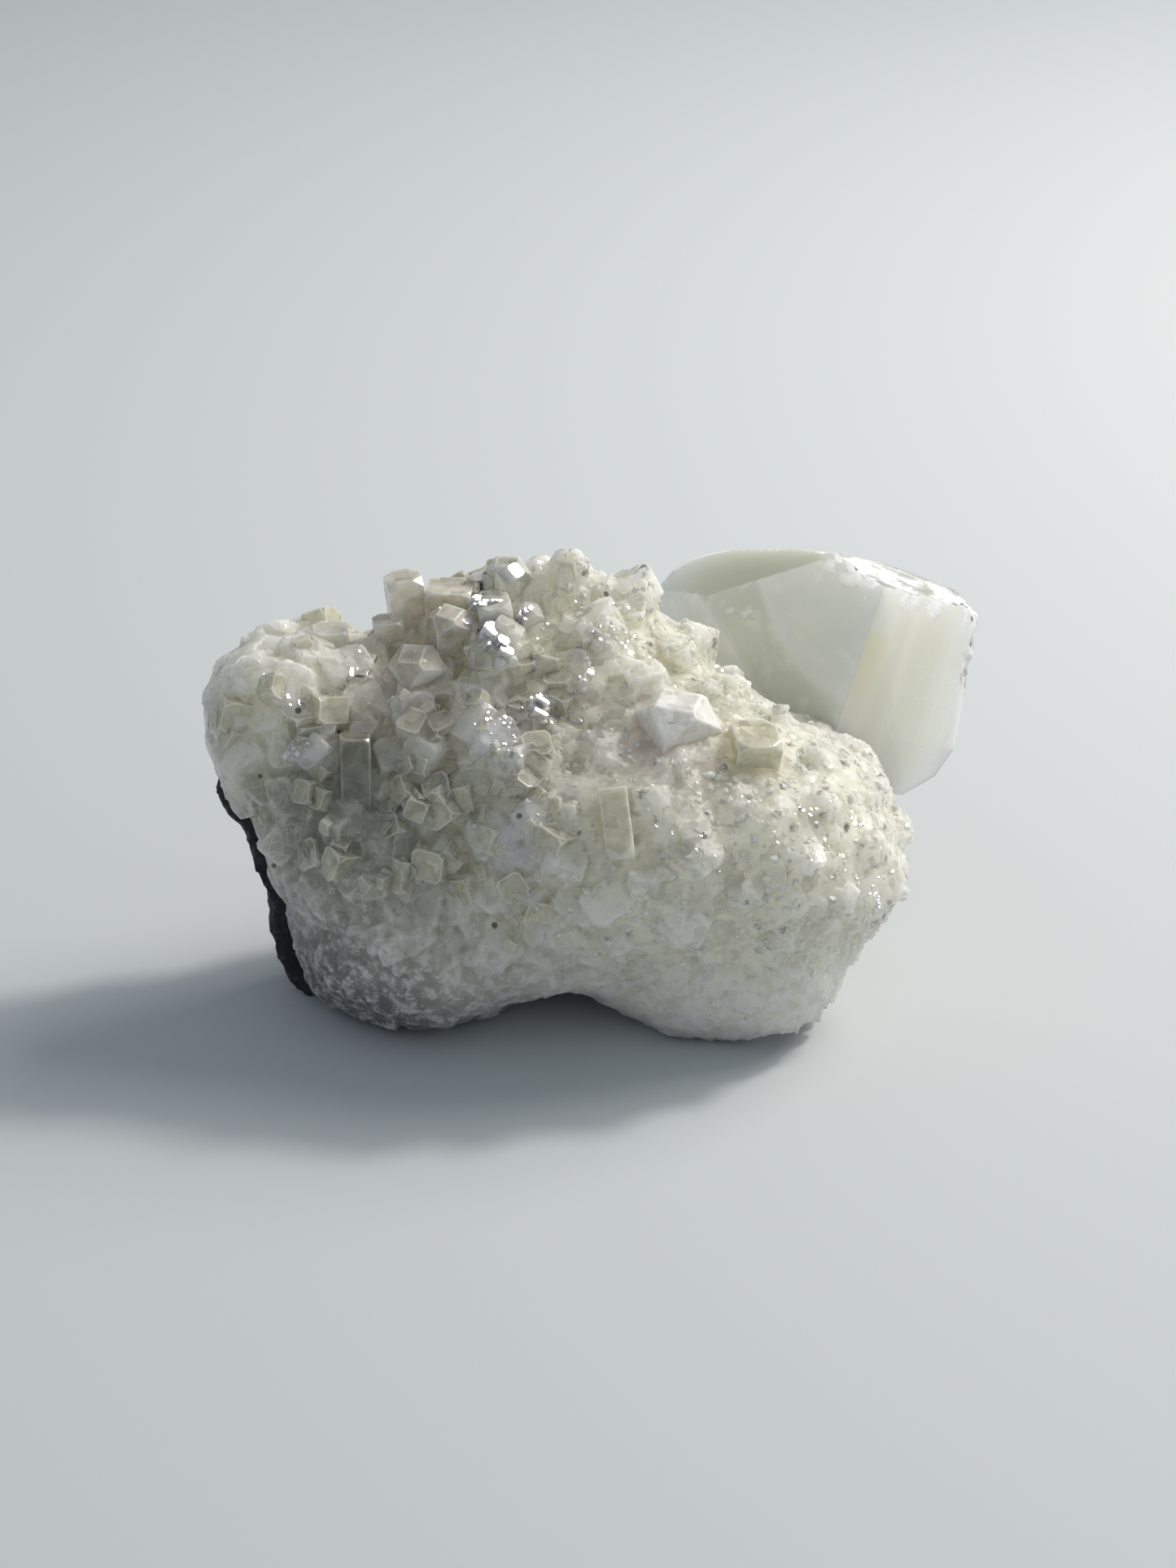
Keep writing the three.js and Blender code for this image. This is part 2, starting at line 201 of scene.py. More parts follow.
def note_points(thing: bpy.types.Object, name: str, values: np.ndarray) -> None:
    """Keeps a number for each vertex, for the finish to read.

    Args:
        thing: The object.
        name: The number's name.
        values: One for each vertex.
    """
    attribute = thing.data.attributes.get(name) or thing.data.attributes.new(name, "FLOAT", "POINT")
    attribute.data.foreach_set("value", values.astype(np.float32))


def off_inset(thing: bpy.types.Object) -> np.ndarray:
    """After an inset, 1 for each vertex on a rim and 0 for each on a sunk face, which is still selected."""
    inner = {i for polygon in thing.data.polygons if polygon.select for i in polygon.vertices}
    return np.array([i not in inner for i in range(len(thing.data.vertices))], float)


def apply_modifier(thing: bpy.types.Object, kind: str, **settings: object) -> None:
    """Adds a modifier, sets it and applies it.

    Args:
        thing: The object that gets it.
        kind: The modifier's type.
        settings: Its properties by name.
    """
    take_up(thing)
    modifier = thing.modifiers.new(kind.title(), kind)
    for name, value in settings.items():
        setattr(modifier, name, value)
    bpy.ops.object.modifier_apply(modifier=modifier.name)


def shade(thing: bpy.types.Object, degrees: float) -> None:
    """Shades a mesh smooth but for the edges that bend more than an angle.

    Args:
        thing: The object.
        degrees: That angle.
    """
    take_up(thing)
    bpy.ops.object.shade_smooth_by_angle(angle=math.radians(degrees))


def remesh(thing: bpy.types.Object, voxel: float, factor: float, smooth: int) -> None:
    """Makes a mesh anew as one even net, with everything that touches fused.

    Args:
        thing: The object.
        voxel: The net's width.
        factor: How strongly it is smoothed.
        smooth: How often it is smoothed.
    """
    take_up(thing)
    thing.data.remesh_voxel_size = voxel
    bpy.ops.object.voxel_remesh()
    apply_modifier(thing, "SMOOTH", factor=factor, iterations=smooth)


def copy_of_node(node: str, name: str) -> bpy.types.Object:
    """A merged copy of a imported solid, its flat faces made whole again.

    Args:
        node: The solid's name.
        name: The copy's name.

    Returns:
        The new object, at the origin.
    """
    thing = bpy.data.objects.new(name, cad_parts[node].data.copy())
    thing.data.materials.clear()
    bpy.context.scene.collection.objects.link(thing)
    take_up(thing)
    bpy.ops.object.mode_set(mode="EDIT")
    bpy.ops.mesh.select_all(action="SELECT")
    bpy.ops.mesh.remove_doubles(threshold=0.001 * MM)
    bpy.ops.mesh.customdata_custom_splitnormals_clear()
    bpy.ops.mesh.dissolve_limited(angle_limit=math.radians(0.5))
    bpy.ops.object.mode_set(mode="OBJECT")
    return thing


def split_finely(thing: bpy.types.Object, longest: float, rounds: int = 7) -> None:
    """Splits long edges until the mesh is fine enough to carve, and keeps its flat faces flat.

    Args:
        thing: The object.
        longest: The longest edge that may stay.
        rounds: How often it tries.
    """
    for still_long in (*[True] * rounds, False):
        take_up(thing)
        bpy.ops.object.mode_set(mode="EDIT")
        bpy.ops.mesh.select_mode(type="EDGE")
        bpy.ops.mesh.select_all(action="SELECT")
        bpy.ops.mesh.quads_convert_to_tris(quad_method="BEAUTY", ngon_method="BEAUTY")
        bpy.ops.mesh.select_all(action="DESELECT")
        bpy.ops.object.mode_set(mode="OBJECT")
        places = points_of(thing)
        first, second = edges_of(thing)
        long = np.linalg.norm(places[first] - places[second], axis=1) > longest
        if not (still_long and long.any()):
            break
        thing.data.edges.foreach_set("select", long)
        bpy.ops.object.mode_set(mode="EDIT")
        bpy.ops.mesh.subdivide(number_cuts=1)


def tree_of(thing: bpy.types.Object) -> BVHTree:
    """Makes a tree that finds places on a mesh.

    Args:
        thing: The object.

    Returns:
        The tree.
    """
    faces = [tuple(polygon.vertices) for polygon in thing.data.polygons]
    return BVHTree.FromPolygons([vertex.co for vertex in thing.data.vertices], faces)


def distance_to(trees: Iterable[BVHTree], place: Sequence[float], reach: float) -> float:
    """How far a place is from the nearest of some surfaces.

    Args:
        trees: The surfaces.
        place: The place.
        reach: The distance past which it stops looking.

    Returns:
        The distance, or reach if nothing is as near.
    """
    nearest = reach
    for tree in trees:
        found = tree.find_nearest(place, nearest)
        if found[0] is not None:
            nearest = min(nearest, found[3])
    return nearest


def uneven(places: np.ndarray, grain: float, octaves: int) -> np.ndarray:
    """Smooth noise, about -1 to 1.

    Args:
        places: Where it is read, one row each.
        grain: The size of its largest swell.
        octaves: How many times it is repeated at half the size.

    Returns:
        One number for each place.
    """
    return np.array([noise.fractal(Vector(place) / grain, 1.0, 2.0, octaves) for place in places])


def between(value: np.ndarray | float, low: float, high: float) -> np.ndarray | float:
    """A smooth step from 0 at low to 1 at high."""
    share = np.clip((value - low) / (high - low), 0, 1)
    return share * share * (3 - 2 * share)


def standing(up: Vector, turn: float) -> Matrix:
    """The turn that takes +Z to a direction, after a turn about it in radians."""
    lean = Vector((0, 0, 1)).rotation_difference(up.normalized())
    return (lean @ Quaternion((0, 0, 1), turn)).to_matrix()


def finish_piece(
    thing: bpy.types.Object, slot: Slot, material: bpy.types.Material, nodes: Sequence[str] = ()
) -> bpy.types.Object:
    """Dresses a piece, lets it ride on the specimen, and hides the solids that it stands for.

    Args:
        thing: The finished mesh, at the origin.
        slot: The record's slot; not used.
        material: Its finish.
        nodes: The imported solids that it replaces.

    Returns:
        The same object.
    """
    thing.data.materials.append(material)
    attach(thing, BODY)
    if nodes:
        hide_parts(*nodes)
    log.info("%s: %d faces", thing.name, len(thing.data.polygons))
    return thing


@dataclass(frozen=True)
class Viewpoint:
    """Where the photograph was taken from, and the way from its pixels to places on the specimen."""

    target: Vector = Vector((-0.76, -2.1, 14.92)) * MM
    elevation: float = math.radians(25)
    distance: float = 220 * MM
    lens: float = 78.5
    sensor: float = 36.0

    @property
    def back(self) -> Vector:
        """The way from the specimen to the camera."""
        return Vector((0, -math.cos(self.elevation), math.sin(self.elevation)))

    @property
    def eye(self) -> Vector:
        """The camera's place."""
        return self.target + self.back * self.distance

    def ray(self, pixel: Pixel) -> Vector:
        """The way from the camera through one of the photograph's pixels.

        Args:
            pixel: The pixel, from the top left.

        Returns:
            The way, one unit long.
        """
        reach = self.lens / self.sensor * PHOTO_HEIGHT
        up = Vector((0, math.sin(self.elevation), math.cos(self.elevation)))
        right = (pixel[0] - PHOTO_WIDTH / 2) / reach
        above = (PHOTO_HEIGHT / 2 - pixel[1]) / reach
        return (Vector((1, 0, 0)) * right + up * above - self.back).normalized()

    def find(self, trees: Iterable[BVHTree], pixel: Pixel) -> tuple[Vector, Vector] | None:
        """The nearest place of some surfaces that shows at a pixel, with the normal there.

        Args:
            trees: The surfaces.
            pixel: The photograph's pixel.

        Returns:
            The place and the normal, or None where nothing shows.
        """
        hits = [tree.ray_cast(self.eye, self.ray(pixel)) for tree in trees]
        hits = [hit for hit in hits if hit[0] is not None]
        if not hits:
            return None
        place, normal, _, _ = min(hits, key=lambda hit: hit[3])
        return place, normal


VIEW = Viewpoint()


# Small tools for materials


def linear(colour: str) -> tuple[float, float, float, float]:
    """An sRGB hex colour as linear red, green, blue and alpha."""
    parts = [int(colour[i : i + 2], 16) / 255 for i in (1, 3, 5)]
    return (*[p / 12.92 if p <= 0.04045 else ((p + 0.055) / 1.055) ** 2.4 for p in parts], 1.0)


def add_node(
    tree: bpy.types.NodeTree, kind: str, inputs: Sequence | dict = (), output: int | str = 0, **settings: object
) -> Socket | None:
    """Adds one node with its settings and links.

    Args:
        tree: The node tree.
        kind: The node's type, without the word that all shader nodes start with.
        inputs: Values, hex colours or other nodes' outputs, by name or in the order of the inputs that it shows.
        output: The output that is wanted, by name or by its place among those that it shows.
        settings: Its properties by name.

    Returns:
        That output, or None where it has none.
    """
    node = tree.nodes.new("ShaderNode" + kind)
    for name, value in settings.items():
        setattr(node, name, value)
    if isinstance(inputs, dict):
        pairs = [(node.inputs[name], value) for name, value in inputs.items()]
    else:
        pairs = zip([socket for socket in node.inputs if socket.enabled], inputs)
    for socket, value in pairs:
        if isinstance(value, Socket):
            tree.links.new(value, socket)
        else:
            socket.default_value = linear(value) if isinstance(value, str) else value
    if isinstance(output, str):
        return node.outputs[output]
    shown = [socket for socket in node.outputs if socket.enabled]
    return shown[output] if shown else None


def new_material(name: str) -> tuple[bpy.types.Material, AddNode]:
    """Makes a material whose node tree is empty.

    Args:
        name: The material's name.

    Returns:
        The material, and what adds nodes to it.
    """
    material = bpy.data.materials.new(name)
    material.use_nodes = True
    material.node_tree.nodes.clear()
    return material, partial(add_node, material.node_tree)


@dataclass(frozen=True)
class Facets:
    """Small flat faces in a surface: blocky cells that each lean another way."""

    grain: float
    lean: float

    def build(self, add: AddNode, place: Socket) -> tuple[Socket, Socket]:
        """The cells at a place.

        Args:
            add: What adds nodes to the material.
            place: The coordinates, in metres.

        Returns:
            The height of the leaning faces in metres, and each cell's own number from 0 to 1.
        """
        cells = {"Vector": place, "Scale": 1 / self.grain}
        colour = add("TexVoronoi", cells, "Color", distance="CHEBYCHEV")
        middle = colour.node.outputs["Position"]
        way = add("VectorMath", (colour, (0.5, 0.5, 0.5)), operation="SUBTRACT")
        off = add("VectorMath", (place, middle), operation="SUBTRACT")
        height = add("VectorMath", (way, off), operation="DOT_PRODUCT")
        scaled = add("Math", (height, 2 * self.lean), operation="MULTIPLY")
        return scaled, add("SeparateXYZ", (colour,))


def absorbed(tint: str, depth: float) -> tuple[tuple[float, ...], float]:
    """What a plain absorption takes, so that it turns white light to a tint on its way through.

    Args:
        tint: The hex colour that is left of white light.
        depth: The length of that way.

    Returns:
        Its colour and its density.
    """
    lost = [-math.log(share) / depth for share in linear(tint)[:3]]
    most = max(lost)
    return (*[1 - one / most for one in lost], 1.0), most


@dataclass(frozen=True)
class GlassyCrystal:
    """Apophyllite grown freely: vitreous faces with fine growth lines, and a body that light goes through.

    The eye gets a glint on each face, a soft tint that deepens with thickness, and a milky remnant of colour.
    Its rims are painted lighter and less clear, as a highlight.
    """

    name: str
    tint: str
    tint_depth: float
    body: str
    clearness: float = 0.72
    roughness: float = 0.06
    line_spacing: float = 0.25 * MM
    line_depth: float = 0.02 * MM
    line_stretch: float = 0.08
    flaw: float = 0.7 * MM
    flaw_lean: float = 0.06
    glow: float = 0.9 * MM
    # Painted highlight on the rims: its colour, and how strongly it is mixed in.
    edge: str = "#fdfdf8"
    rim_highlight: float = 0.45
    cloud: float = 1.5 * MM

    def make(self) -> bpy.types.Material:
        """The material."""
        material, add = new_material(self.name)
        place = add("TexCoord", output="Object")
        drawn_out = add("Mapping", {"Vector": place, "Scale": (1, 1, self.line_stretch)})
        lines = add("TexNoise", (drawn_out, 1 / self.line_spacing, 4.0, 0.6))
        lines = add("Math", (lines, self.line_depth), operation="MULTIPLY")
        steps, own = Facets(self.flaw, self.flaw_lean).build(add, place)
        height = add("Math", (lines, steps), operation="ADD")
        cloud = add("TexNoise", (place, 1 / self.cloud, 4.0, 0.6))
        clear = add("Math", (add("MapRange", (cloud, 0.35, 0.7, -0.14, 0.14)), self.clearness), **PLUS)
        clear = add("Math", (add("MapRange", (own, 0.0, 1.0, -0.12, 0.12)), clear), **PLUS)
        # Painted highlight: the rims are lighter and let less light through.
        edge = add("Attribute", output="Fac", attribute_name="edge")
        light = add("Math", (edge, self.rim_highlight), **TIMES)
        rough = (0.5 * self.roughness, 2.2 * self.roughness)
        surface = {
            "Base Color": add("Mix", (light, self.body, self.edge), **BLEND),
            "Subsurface Weight": 0.7,
            "Subsurface Radius": (1.0, 1.0, 0.95),
            "Subsurface Scale": self.glow,
            "Roughness": add("MapRange", (cloud, 0.35, 0.75, *rough)),
            "IOR": IOR,
            "Transmission Weight": add(
                "Math", (clear, add("MapRange", (edge, 0.0, 1.0, 1.0, 1.0 - self.rim_highlight))), **TIMES
            ),
            "Normal": add("Bump", {"Distance": 1.0, "Height": height}),
        }
        volume = add("VolumeAbsorption", absorbed(self.tint, self.tint_depth))
        add("OutputMaterial", (add("BsdfPrincipled", surface), volume))
        return material


@dataclass(frozen=True)
class LargeCrystalFinish:
    """A large apophyllite prism: greenish grey and clear in front, cream and cloudy at its right, with a frosted rim.

    The eye gets one glassy window with faint veils, one warm pale face with cleavage cracks, one finely ruled face
    on top painted darker as shade, and a white crumbly edge.
    """

    name: str = "apophyllite, large clear"
    tint: str = "#e6e9dc"
    tint_depth: float = 15 * MM
    window: str = "#ebece0"
    veiled: str = "#fbfbf3"
    cream: str = "#f1efe2"
    band: str = "#e8e7da"
    warm: str = "#f1e8cc"
    # Painted shade: the ruled pyramid face is darker.
    ruled: str = "#d0d0c2"
    frost: str = "#eff0ef"
    crack_levels: tuple[float, ...] = (-3.6 * MM, -5.4 * MM, -8.6 * MM)
    crack_tilt: float = 0.12
    crack_strength: float = 0.4
    band_width: float = 4.5 * MM
    cloud: float = 3 * MM
    sway: float = 7 * MM
    crumb: float = 0.5 * MM
    glow: float = 10 * MM

    def cracks(self, add: AddNode, right: Socket, up: Socket, sway: Socket) -> Socket:
        """Where the thin cleavage cracks show on the right face.

        Args:
            add: What adds nodes to the material.
            right: How far back along the right face.
            up: How far up along the axis.
            sway: How far the cracks stray.

        Returns:
            Their strength from 0 to 1.
        """
        found = add("Math", (0.0, 0.0), **PLUS)
        for level in self.crack_levels:
            off = add("Math", (right, self.crack_tilt, up), operation="MULTIPLY_ADD")
            off = add("Math", (off, level), operation="SUBTRACT")
            off = add("Math", (off, sway), operation="ADD")
            off = add("Math", (off,), operation="ABSOLUTE")
            near = add("MapRange", (off, 0.1 * MM, 0.02 * MM))
            near = add("Math", (near, add("MapRange", (right, 3 * MM, 6 * MM))), **TIMES)
            found = add("Math", (found, near), **GREATER)
        return found

    def make(self) -> bpy.types.Material:
        """The material."""
        material, add = new_material(self.name)
        place = add("TexCoord", output="Object")
        cream, frost, striae, veiled = (
            add("Attribute", output="Fac", attribute_name=name) for name in ("cream", "frost", "striae", "veiled")
        )
        moved = add("VectorMath", (place, LARGE_CORNER), operation="SUBTRACT")
        right, up = (add("VectorMath", (moved, way), operation="DOT_PRODUCT") for way in (LARGE_RIGHT, LARGE_AXIS))
        bands = add("TexNoise", (add("CombineXYZ", (right,)), 1 / self.band_width, 2.0, 0.6))
        cloud = add("TexNoise", (place, 1 / self.cloud, 5.0, 0.6))
        fine = add("TexNoise", (place, 1 / self.crumb, 5.0, 0.7))
        pale = add("Mix", (add("MapRange", (bands, 0.44, 0.56)), self.cream, self.band), **BLEND)
        lower = add("MapRange", (up, -9.5 * MM, -6.5 * MM))
        upper = add("MapRange", (up, -2.6 * MM, -3.4 * MM))
        warmth = add("Math", (add("Math", (lower, upper), **TIMES), 0.85), **TIMES)
        warmth = add("Math", (warmth, add("MapRange", (right, 3.4 * MM, 1.4 * MM))), **TIMES)
        pale = add("Mix", (warmth, pale, self.warm), **BLEND)
        milk = add("Math", (veiled, add("MapRange", (cloud, 0.3, 0.7, 0.75, 1.0))), **TIMES)
        colour = add("Mix", (milk, self.window, self.veiled), **BLEND)
        colour = add("Mix", (cream, colour, pale), **BLEND)
        # Painted shade on the ruled pyramid face.
        colour = add("Mix", (striae, colour, self.ruled), **BLEND)
        sway = add("TexNoise", (place, 1 / self.sway, 4.0, 0.6))
        sway = add("MapRange", (sway, 0.3, 0.7, -0.5 * MM, 0.5 * MM))
        crack = add("Math", (self.cracks(add, right, up, sway), cream), **TIMES)
        white = add("Math", (frost, add("Math", (crack, self.crack_strength), **TIMES)), **GREATER)
        veil = add("Math", (add("MapRange", (cloud, 0.5, 0.62)), 0.4), **TIMES)
        dull = add("Math", (white, add("Math", (cream, 0.6), **TIMES)), **GREATER)
        dull = add("Math", (dull, add("Math", (striae, 0.45), **TIMES)), **GREATER)
        dull = add("Math", (dull, veil), **GREATER)
        dull = add("Math", (dull, add("Math", (milk, 0.4), **TIMES)), **GREATER)
        rough = add("MapRange", (fine, 0.4, 0.7, 0.04, 0.14))
        height = add("Math", (fine, frost), **TIMES)
        surface = {
            "Base Color": add("Mix", (white, colour, self.frost), **BLEND),
            "Roughness": add("Math", (rough, add("Math", (white, 0.75), **TIMES)), **GREATER),
            "IOR": IOR,
            "Subsurface Weight": 1.0,
            "Subsurface Radius": (1.0, 1.0, 0.92),
            "Subsurface Scale": self.glow,
            "Transmission Weight": add("MapRange", (dull, 0.0, 1.0, 0.34, 0.02)),
            "Normal": add("Bump", {"Strength": 0.8, "Distance": 0.25 * MM, "Height": height}),
        }
        volume = add("VolumeAbsorption", absorbed(self.tint, self.tint_depth))
        add("OutputMaterial", (add("BsdfPrincipled", surface), volume))
        return material


@dataclass(frozen=True)
class Cloud:
    """A soft-edged patch of another colour or of painted shade in the crust, its place and reach in millimetres."""

    colour: str
    at: tuple[float, float, float]
    reach: tuple[float, float, float]
    most: float = 1.0
    soft: float = 0.35

    def share(self, add: AddNode, place: Socket) -> Socket:
        """How strong the patch is at a place.

        Args:
            add: What adds nodes to the material.
            place: The coordinates, in metres.

        Returns:
            Its strength, from 0 to most.
        """
        size = [1 / (r * MM) for r in self.reach]
        off = [-a * MM * s for a, s in zip(self.at, size)]
        moved = add("Mapping", {"Vector": place, "Scale": size, "Location": off})
        ball = add("TexGradient", (moved,), "Fac", gradient_type="QUADRATIC_SPHERE")
        return add("MapRange", (ball, 0.0, self.soft, 0.0, self.most))


@dataclass(frozen=True)
class CrustFinish:
    """Drusy apophyllite: cloudy crystal that light soaks into, glossy where clean and chalky where bruised.

    The eye gets a greenish-grey glow broken into many small flat faces, smoky and pink tints, frosty patches, a
    powdery underside and scattered mineral specks. Shade is painted in: darker patches on the left flank, the lower
    left and the terrace by the large crystal, and darker crevices; the ridges are painted lighter as a highlight.
    """

    name: str = "drusy apophyllite, grown"
    body: str = "#f5f2e2"
    light: str = "#faf8ea"
    deep: str = "#bfbdac"
    chalk: str = "#f8f7f5"
    speck: str = "#3a342e"
    speck_spacing: float = 3.4 * MM
    soak: float = 10.0 * MM
    swirl: float = 4 * MM
    flake: float = 0.9 * MM
    flake_height: float = 0.5 * MM
    cloud_wander: float = 5 * MM
    grain_wander: float = 0.9 * MM
    blocks: Facets = Facets(1.4 * MM, 0.15)
    grains: Facets = Facets(0.5 * MM, 0.2)
    clouds_and_painted_shade: tuple[Cloud, ...] = (
        Cloud("#ddd3c5", (-11.5, -3, 21), (7, 9, 6), 0.8),
        Cloud("#dedbcb", (-1, 2, 27), (6, 8, 6), 0.8),
        # Painted shade: the left flank darker where the key light does not reach, and where the crust is thin over
        # the basalt; the lower left darker still.
        Cloud("#a3a294", (-18, -8, 13.5), (10, 12, 10), 0.95),
        Cloud("#adaaa8", (-16, -7, 5), (12, 10, 8), 0.85),
        # Painted shade: the terrace darker, where the large crystal stands between it and the key light.
        Cloud("#cfcdb9", (6.5, -2, 23), (8, 7, 5.5)),
        Cloud("#ded0ca", (3, -7, 20), (5, 6, 4), 0.8),
        Cloud("#dfd1ca", (7, -7.5, 19), (4, 4, 4), 0.5),
        Cloud("#e6e0bd", (9.6, -7, 20), (4.2, 4, 3.6), 0.8),
        Cloud("#e2dec4", (1.0, -11, 17), (2.6, 4, 4.5), 0.6),
        Cloud("#f2efdc", (-22.5, -2, 21), (7, 9, 8), 0.9),
        Cloud("#f5f2e2", (17, -4, 13), (10, 12, 10), 0.9),
    )
    frost: tuple[Cloud, ...] = (
        Cloud("#f9f8fd", (-6.0, -7, 20.4), (3.6, 5, 3.4)),
        Cloud("#eeedf2", (-4.6, -12, 15.6), (4.2, 4, 3.0), 0.9),
        Cloud("#efeff2", (-18.2, -6, 20.0), (2.2, 4, 2.6), 0.8),
    )
    window: Cloud = Cloud("#000000", (-15, -8, 15), (10, 9, 8))
    # Painted shade: a dark grey patch over the lower left, where the key light does not reach.
    dust_and_painted_shade: Cloud = Cloud("#5f6163", (-17, -9, 1), (24, 18, 15), soft=0.6)
    laces: tuple[tuple[float, float, float], ...] = ((1.5 * MM, 0.07 * MM, 0.6), (0.7 * MM, 0.06 * MM, 0.45))

    def make(self) -> bpy.types.Material:
        """The material."""
        material, add = new_material(self.name)
        place = add("TexCoord", output="Object")
        swirl = add("TexNoise", (place, 1 / self.swirl, 5.0, 0.65), "Color")
        wander, bent = (
            add("VectorMath", (swirl, (reach,) * 3, place), operation="MULTIPLY_ADD")
            for reach in (self.cloud_wander, self.grain_wander)
        )
        wander = add("VectorMath", (wander, (self.cloud_wander / 2,) * 3), operation="SUBTRACT")
        tone, edge = (add("Attribute", output="Fac", attribute_name=name) for name in ("tone", "edge"))
        block_height, block_tone = self.blocks.build(add, bent)
        grain_height, grain_tone = self.grains.build(add, bent)
        powder = add("MapRange", (add("SeparateXYZ", (wander,), "Z"), 13 * MM, 5 * MM))
        window = self.window.share(add, wander)
        flakes = add("TexNoise", (place, 1 / self.flake, 6.0, 0.7))
        colour = self.body
        # Some of these patches are painted shade.
        for cloud in self.clouds_and_painted_shade:
            colour = add("Mix", (cloud.share(add, wander), colour, cloud.colour), **BLEND)
        depth = add("MapRange", (window, 0.0, 1.0, 0.3, 0.75))
        depth = add("Math", (add("MapRange", (tone, 0.3, 0.9)), depth), **TIMES)
        colour = add("Mix", (depth, colour, self.deep), **BLEND)
        for own, most in ((block_tone, 0.38), (grain_tone, 0.28)):
            for start, end, other in ((0.45, 1.0, self.deep), (0.4, 0.0, self.light)):
                share = add("Math", (add("MapRange", (own, start, end)), most), **TIMES)
                colour = add("Mix", (share, colour, other), **BLEND)
        # Painted highlight on the skin's ridges and painted shade in its crevices, read from its bend.
        colour = add("Mix", (add("MapRange", (edge, 0.1, 0.8, 0.0, 0.6)), colour, self.light), **BLEND)
        colour = add("Mix", (add("MapRange", (edge, -0.2, -1.0, 0.0, 0.3)), colour, self.deep), **BLEND)
        patchy = add("SeparateXYZ", (swirl,), "Z")
        for grain, width, most in self.laces:
            cells = {"Vector": bent, "Scale": 1 / grain}
            lace = add("TexVoronoi", cells, feature="DISTANCE_TO_EDGE")
            lace = add("MapRange", (lace, width / grain, 0.0, 0.0, most))
            lace = add("Math", (lace, add("MapRange", (patchy, 0.4, 0.6))), **TIMES)
            colour = add("Mix", (lace, colour, self.light), **BLEND)
        icy = add("Math", (0.0, 0.0), **PLUS)
        for cloud in self.frost:
            icy = add("Math", (icy, cloud.share(add, wander)), **GREATER)
        icy = add("Math", (icy, add("MapRange", (flakes, 0.34, 0.5))), **TIMES)
        colour = add("Mix", (icy, colour, self.frost[0].colour), **BLEND)
        # Painted shade over the lower left, broken up by the flakes; the chalk is fainter under it.
        dust_and_painted_shade = self.dust_and_painted_shade.share(add, wander)
        share = add("Math", (dust_and_painted_shade, add("MapRange", (flakes, 0.6, 0.46, 0.25, 1.0))), **TIMES)
        colour = add("Mix", (share, colour, self.dust_and_painted_shade.colour), **BLEND)
        chalky = add("Math", (powder, add("MapRange", (flakes, 0.5, 0.6, 0.1, 0.8))), **TIMES)
        chalky = add("Math", (chalky, add("MapRange", (dust_and_painted_shade, 0.2, 1.0, 1.0, 0.35))), **TIMES)
        colour = add("Mix", (chalky, colour, self.chalk), **BLEND)
        specks = add("TexVoronoi", {"Vector": place, "Scale": 1 / self.speck_spacing})
        colour = add("Mix", (add("MapRange", (specks, 0.07, 0.05, 0.0, 0.8)), colour, self.speck), **BLEND)
        worn = add("Math", (powder, add("Math", (icy, 0.5), **TIMES)), **GREATER)
        rough = add("MapRange", (grain_tone, 0.78, 0.86, 0.55, 0.12))
        height = add("Math", (block_height, grain_height), operation="ADD")
        crisp = add("MapRange", (powder, 0.0, 1.0, 1.0, 0.35))
        height = add("Math", (height, crisp), operation="MULTIPLY")
        flaky = add("Math", (flakes, self.flake_height), operation="MULTIPLY")
        flaky = add("Math", (flaky, worn), operation="MULTIPLY")
        height = add("Math", (height, flaky), operation="ADD")
        clear = add("MapRange", (window, 0.0, 1.0, 0.04, 0.28))
        clear = add("Math", (clear, add("MapRange", (block_tone, 0.6, 1.0, 0.0, 0.15))), **PLUS)
        surface = {
            "Base Color": colour,
            "Roughness": add("Math", (rough, add("Math", (worn, 0.85), **TIMES)), **GREATER),
            "IOR": IOR,
            "Subsurface Weight": 0.88,
            "Subsurface Radius": (1.0, 0.98, 0.9),
            "Subsurface Scale": self.soak,
            "Transmission Weight": add("Math", (add("MapRange", (worn, 0.0, 1.0, 1.0, 0.05)), clear), **TIMES),
            "Normal": add("Bump", {"Distance": 1.0, "Height": height}),
        }
        add("OutputMaterial", (add("BsdfPrincipled", surface),))
        return material


@dataclass(frozen=True)
class BasaltFinish:
    """Amygdaloidal basalt, broken: dull, nearly black, with a bluish skin and a few pale zeolite spots."""

    name: str = "basalt, broken"
    stone: str = "#24272d"
    dust_and_painted_shade: str = "#5b5f63"
    grain: float = 0.6 * MM
    relief: float = 0.2 * MM
    roughness: float = 0.8

    def make(self) -> bpy.types.Material:
        """The material."""
        material, add = new_material(self.name)
        grain = add("TexNoise", (add("TexCoord", output="Object"), 1 / self.grain, 8.0, 0.75))
        surface = {
            "Base Color": add("Mix", (add("MapRange", (grain, 0.48, 0.8)), self.stone, self.dust_and_painted_shade), **BLEND),
            "Roughness": self.roughness,
            "Normal": add("Bump", {"Strength": 0.8, "Distance": self.relief, "Height": grain}),
        }
        add("OutputMaterial", (add("BsdfPrincipled", surface),))
        return material


# The specimen's pieces


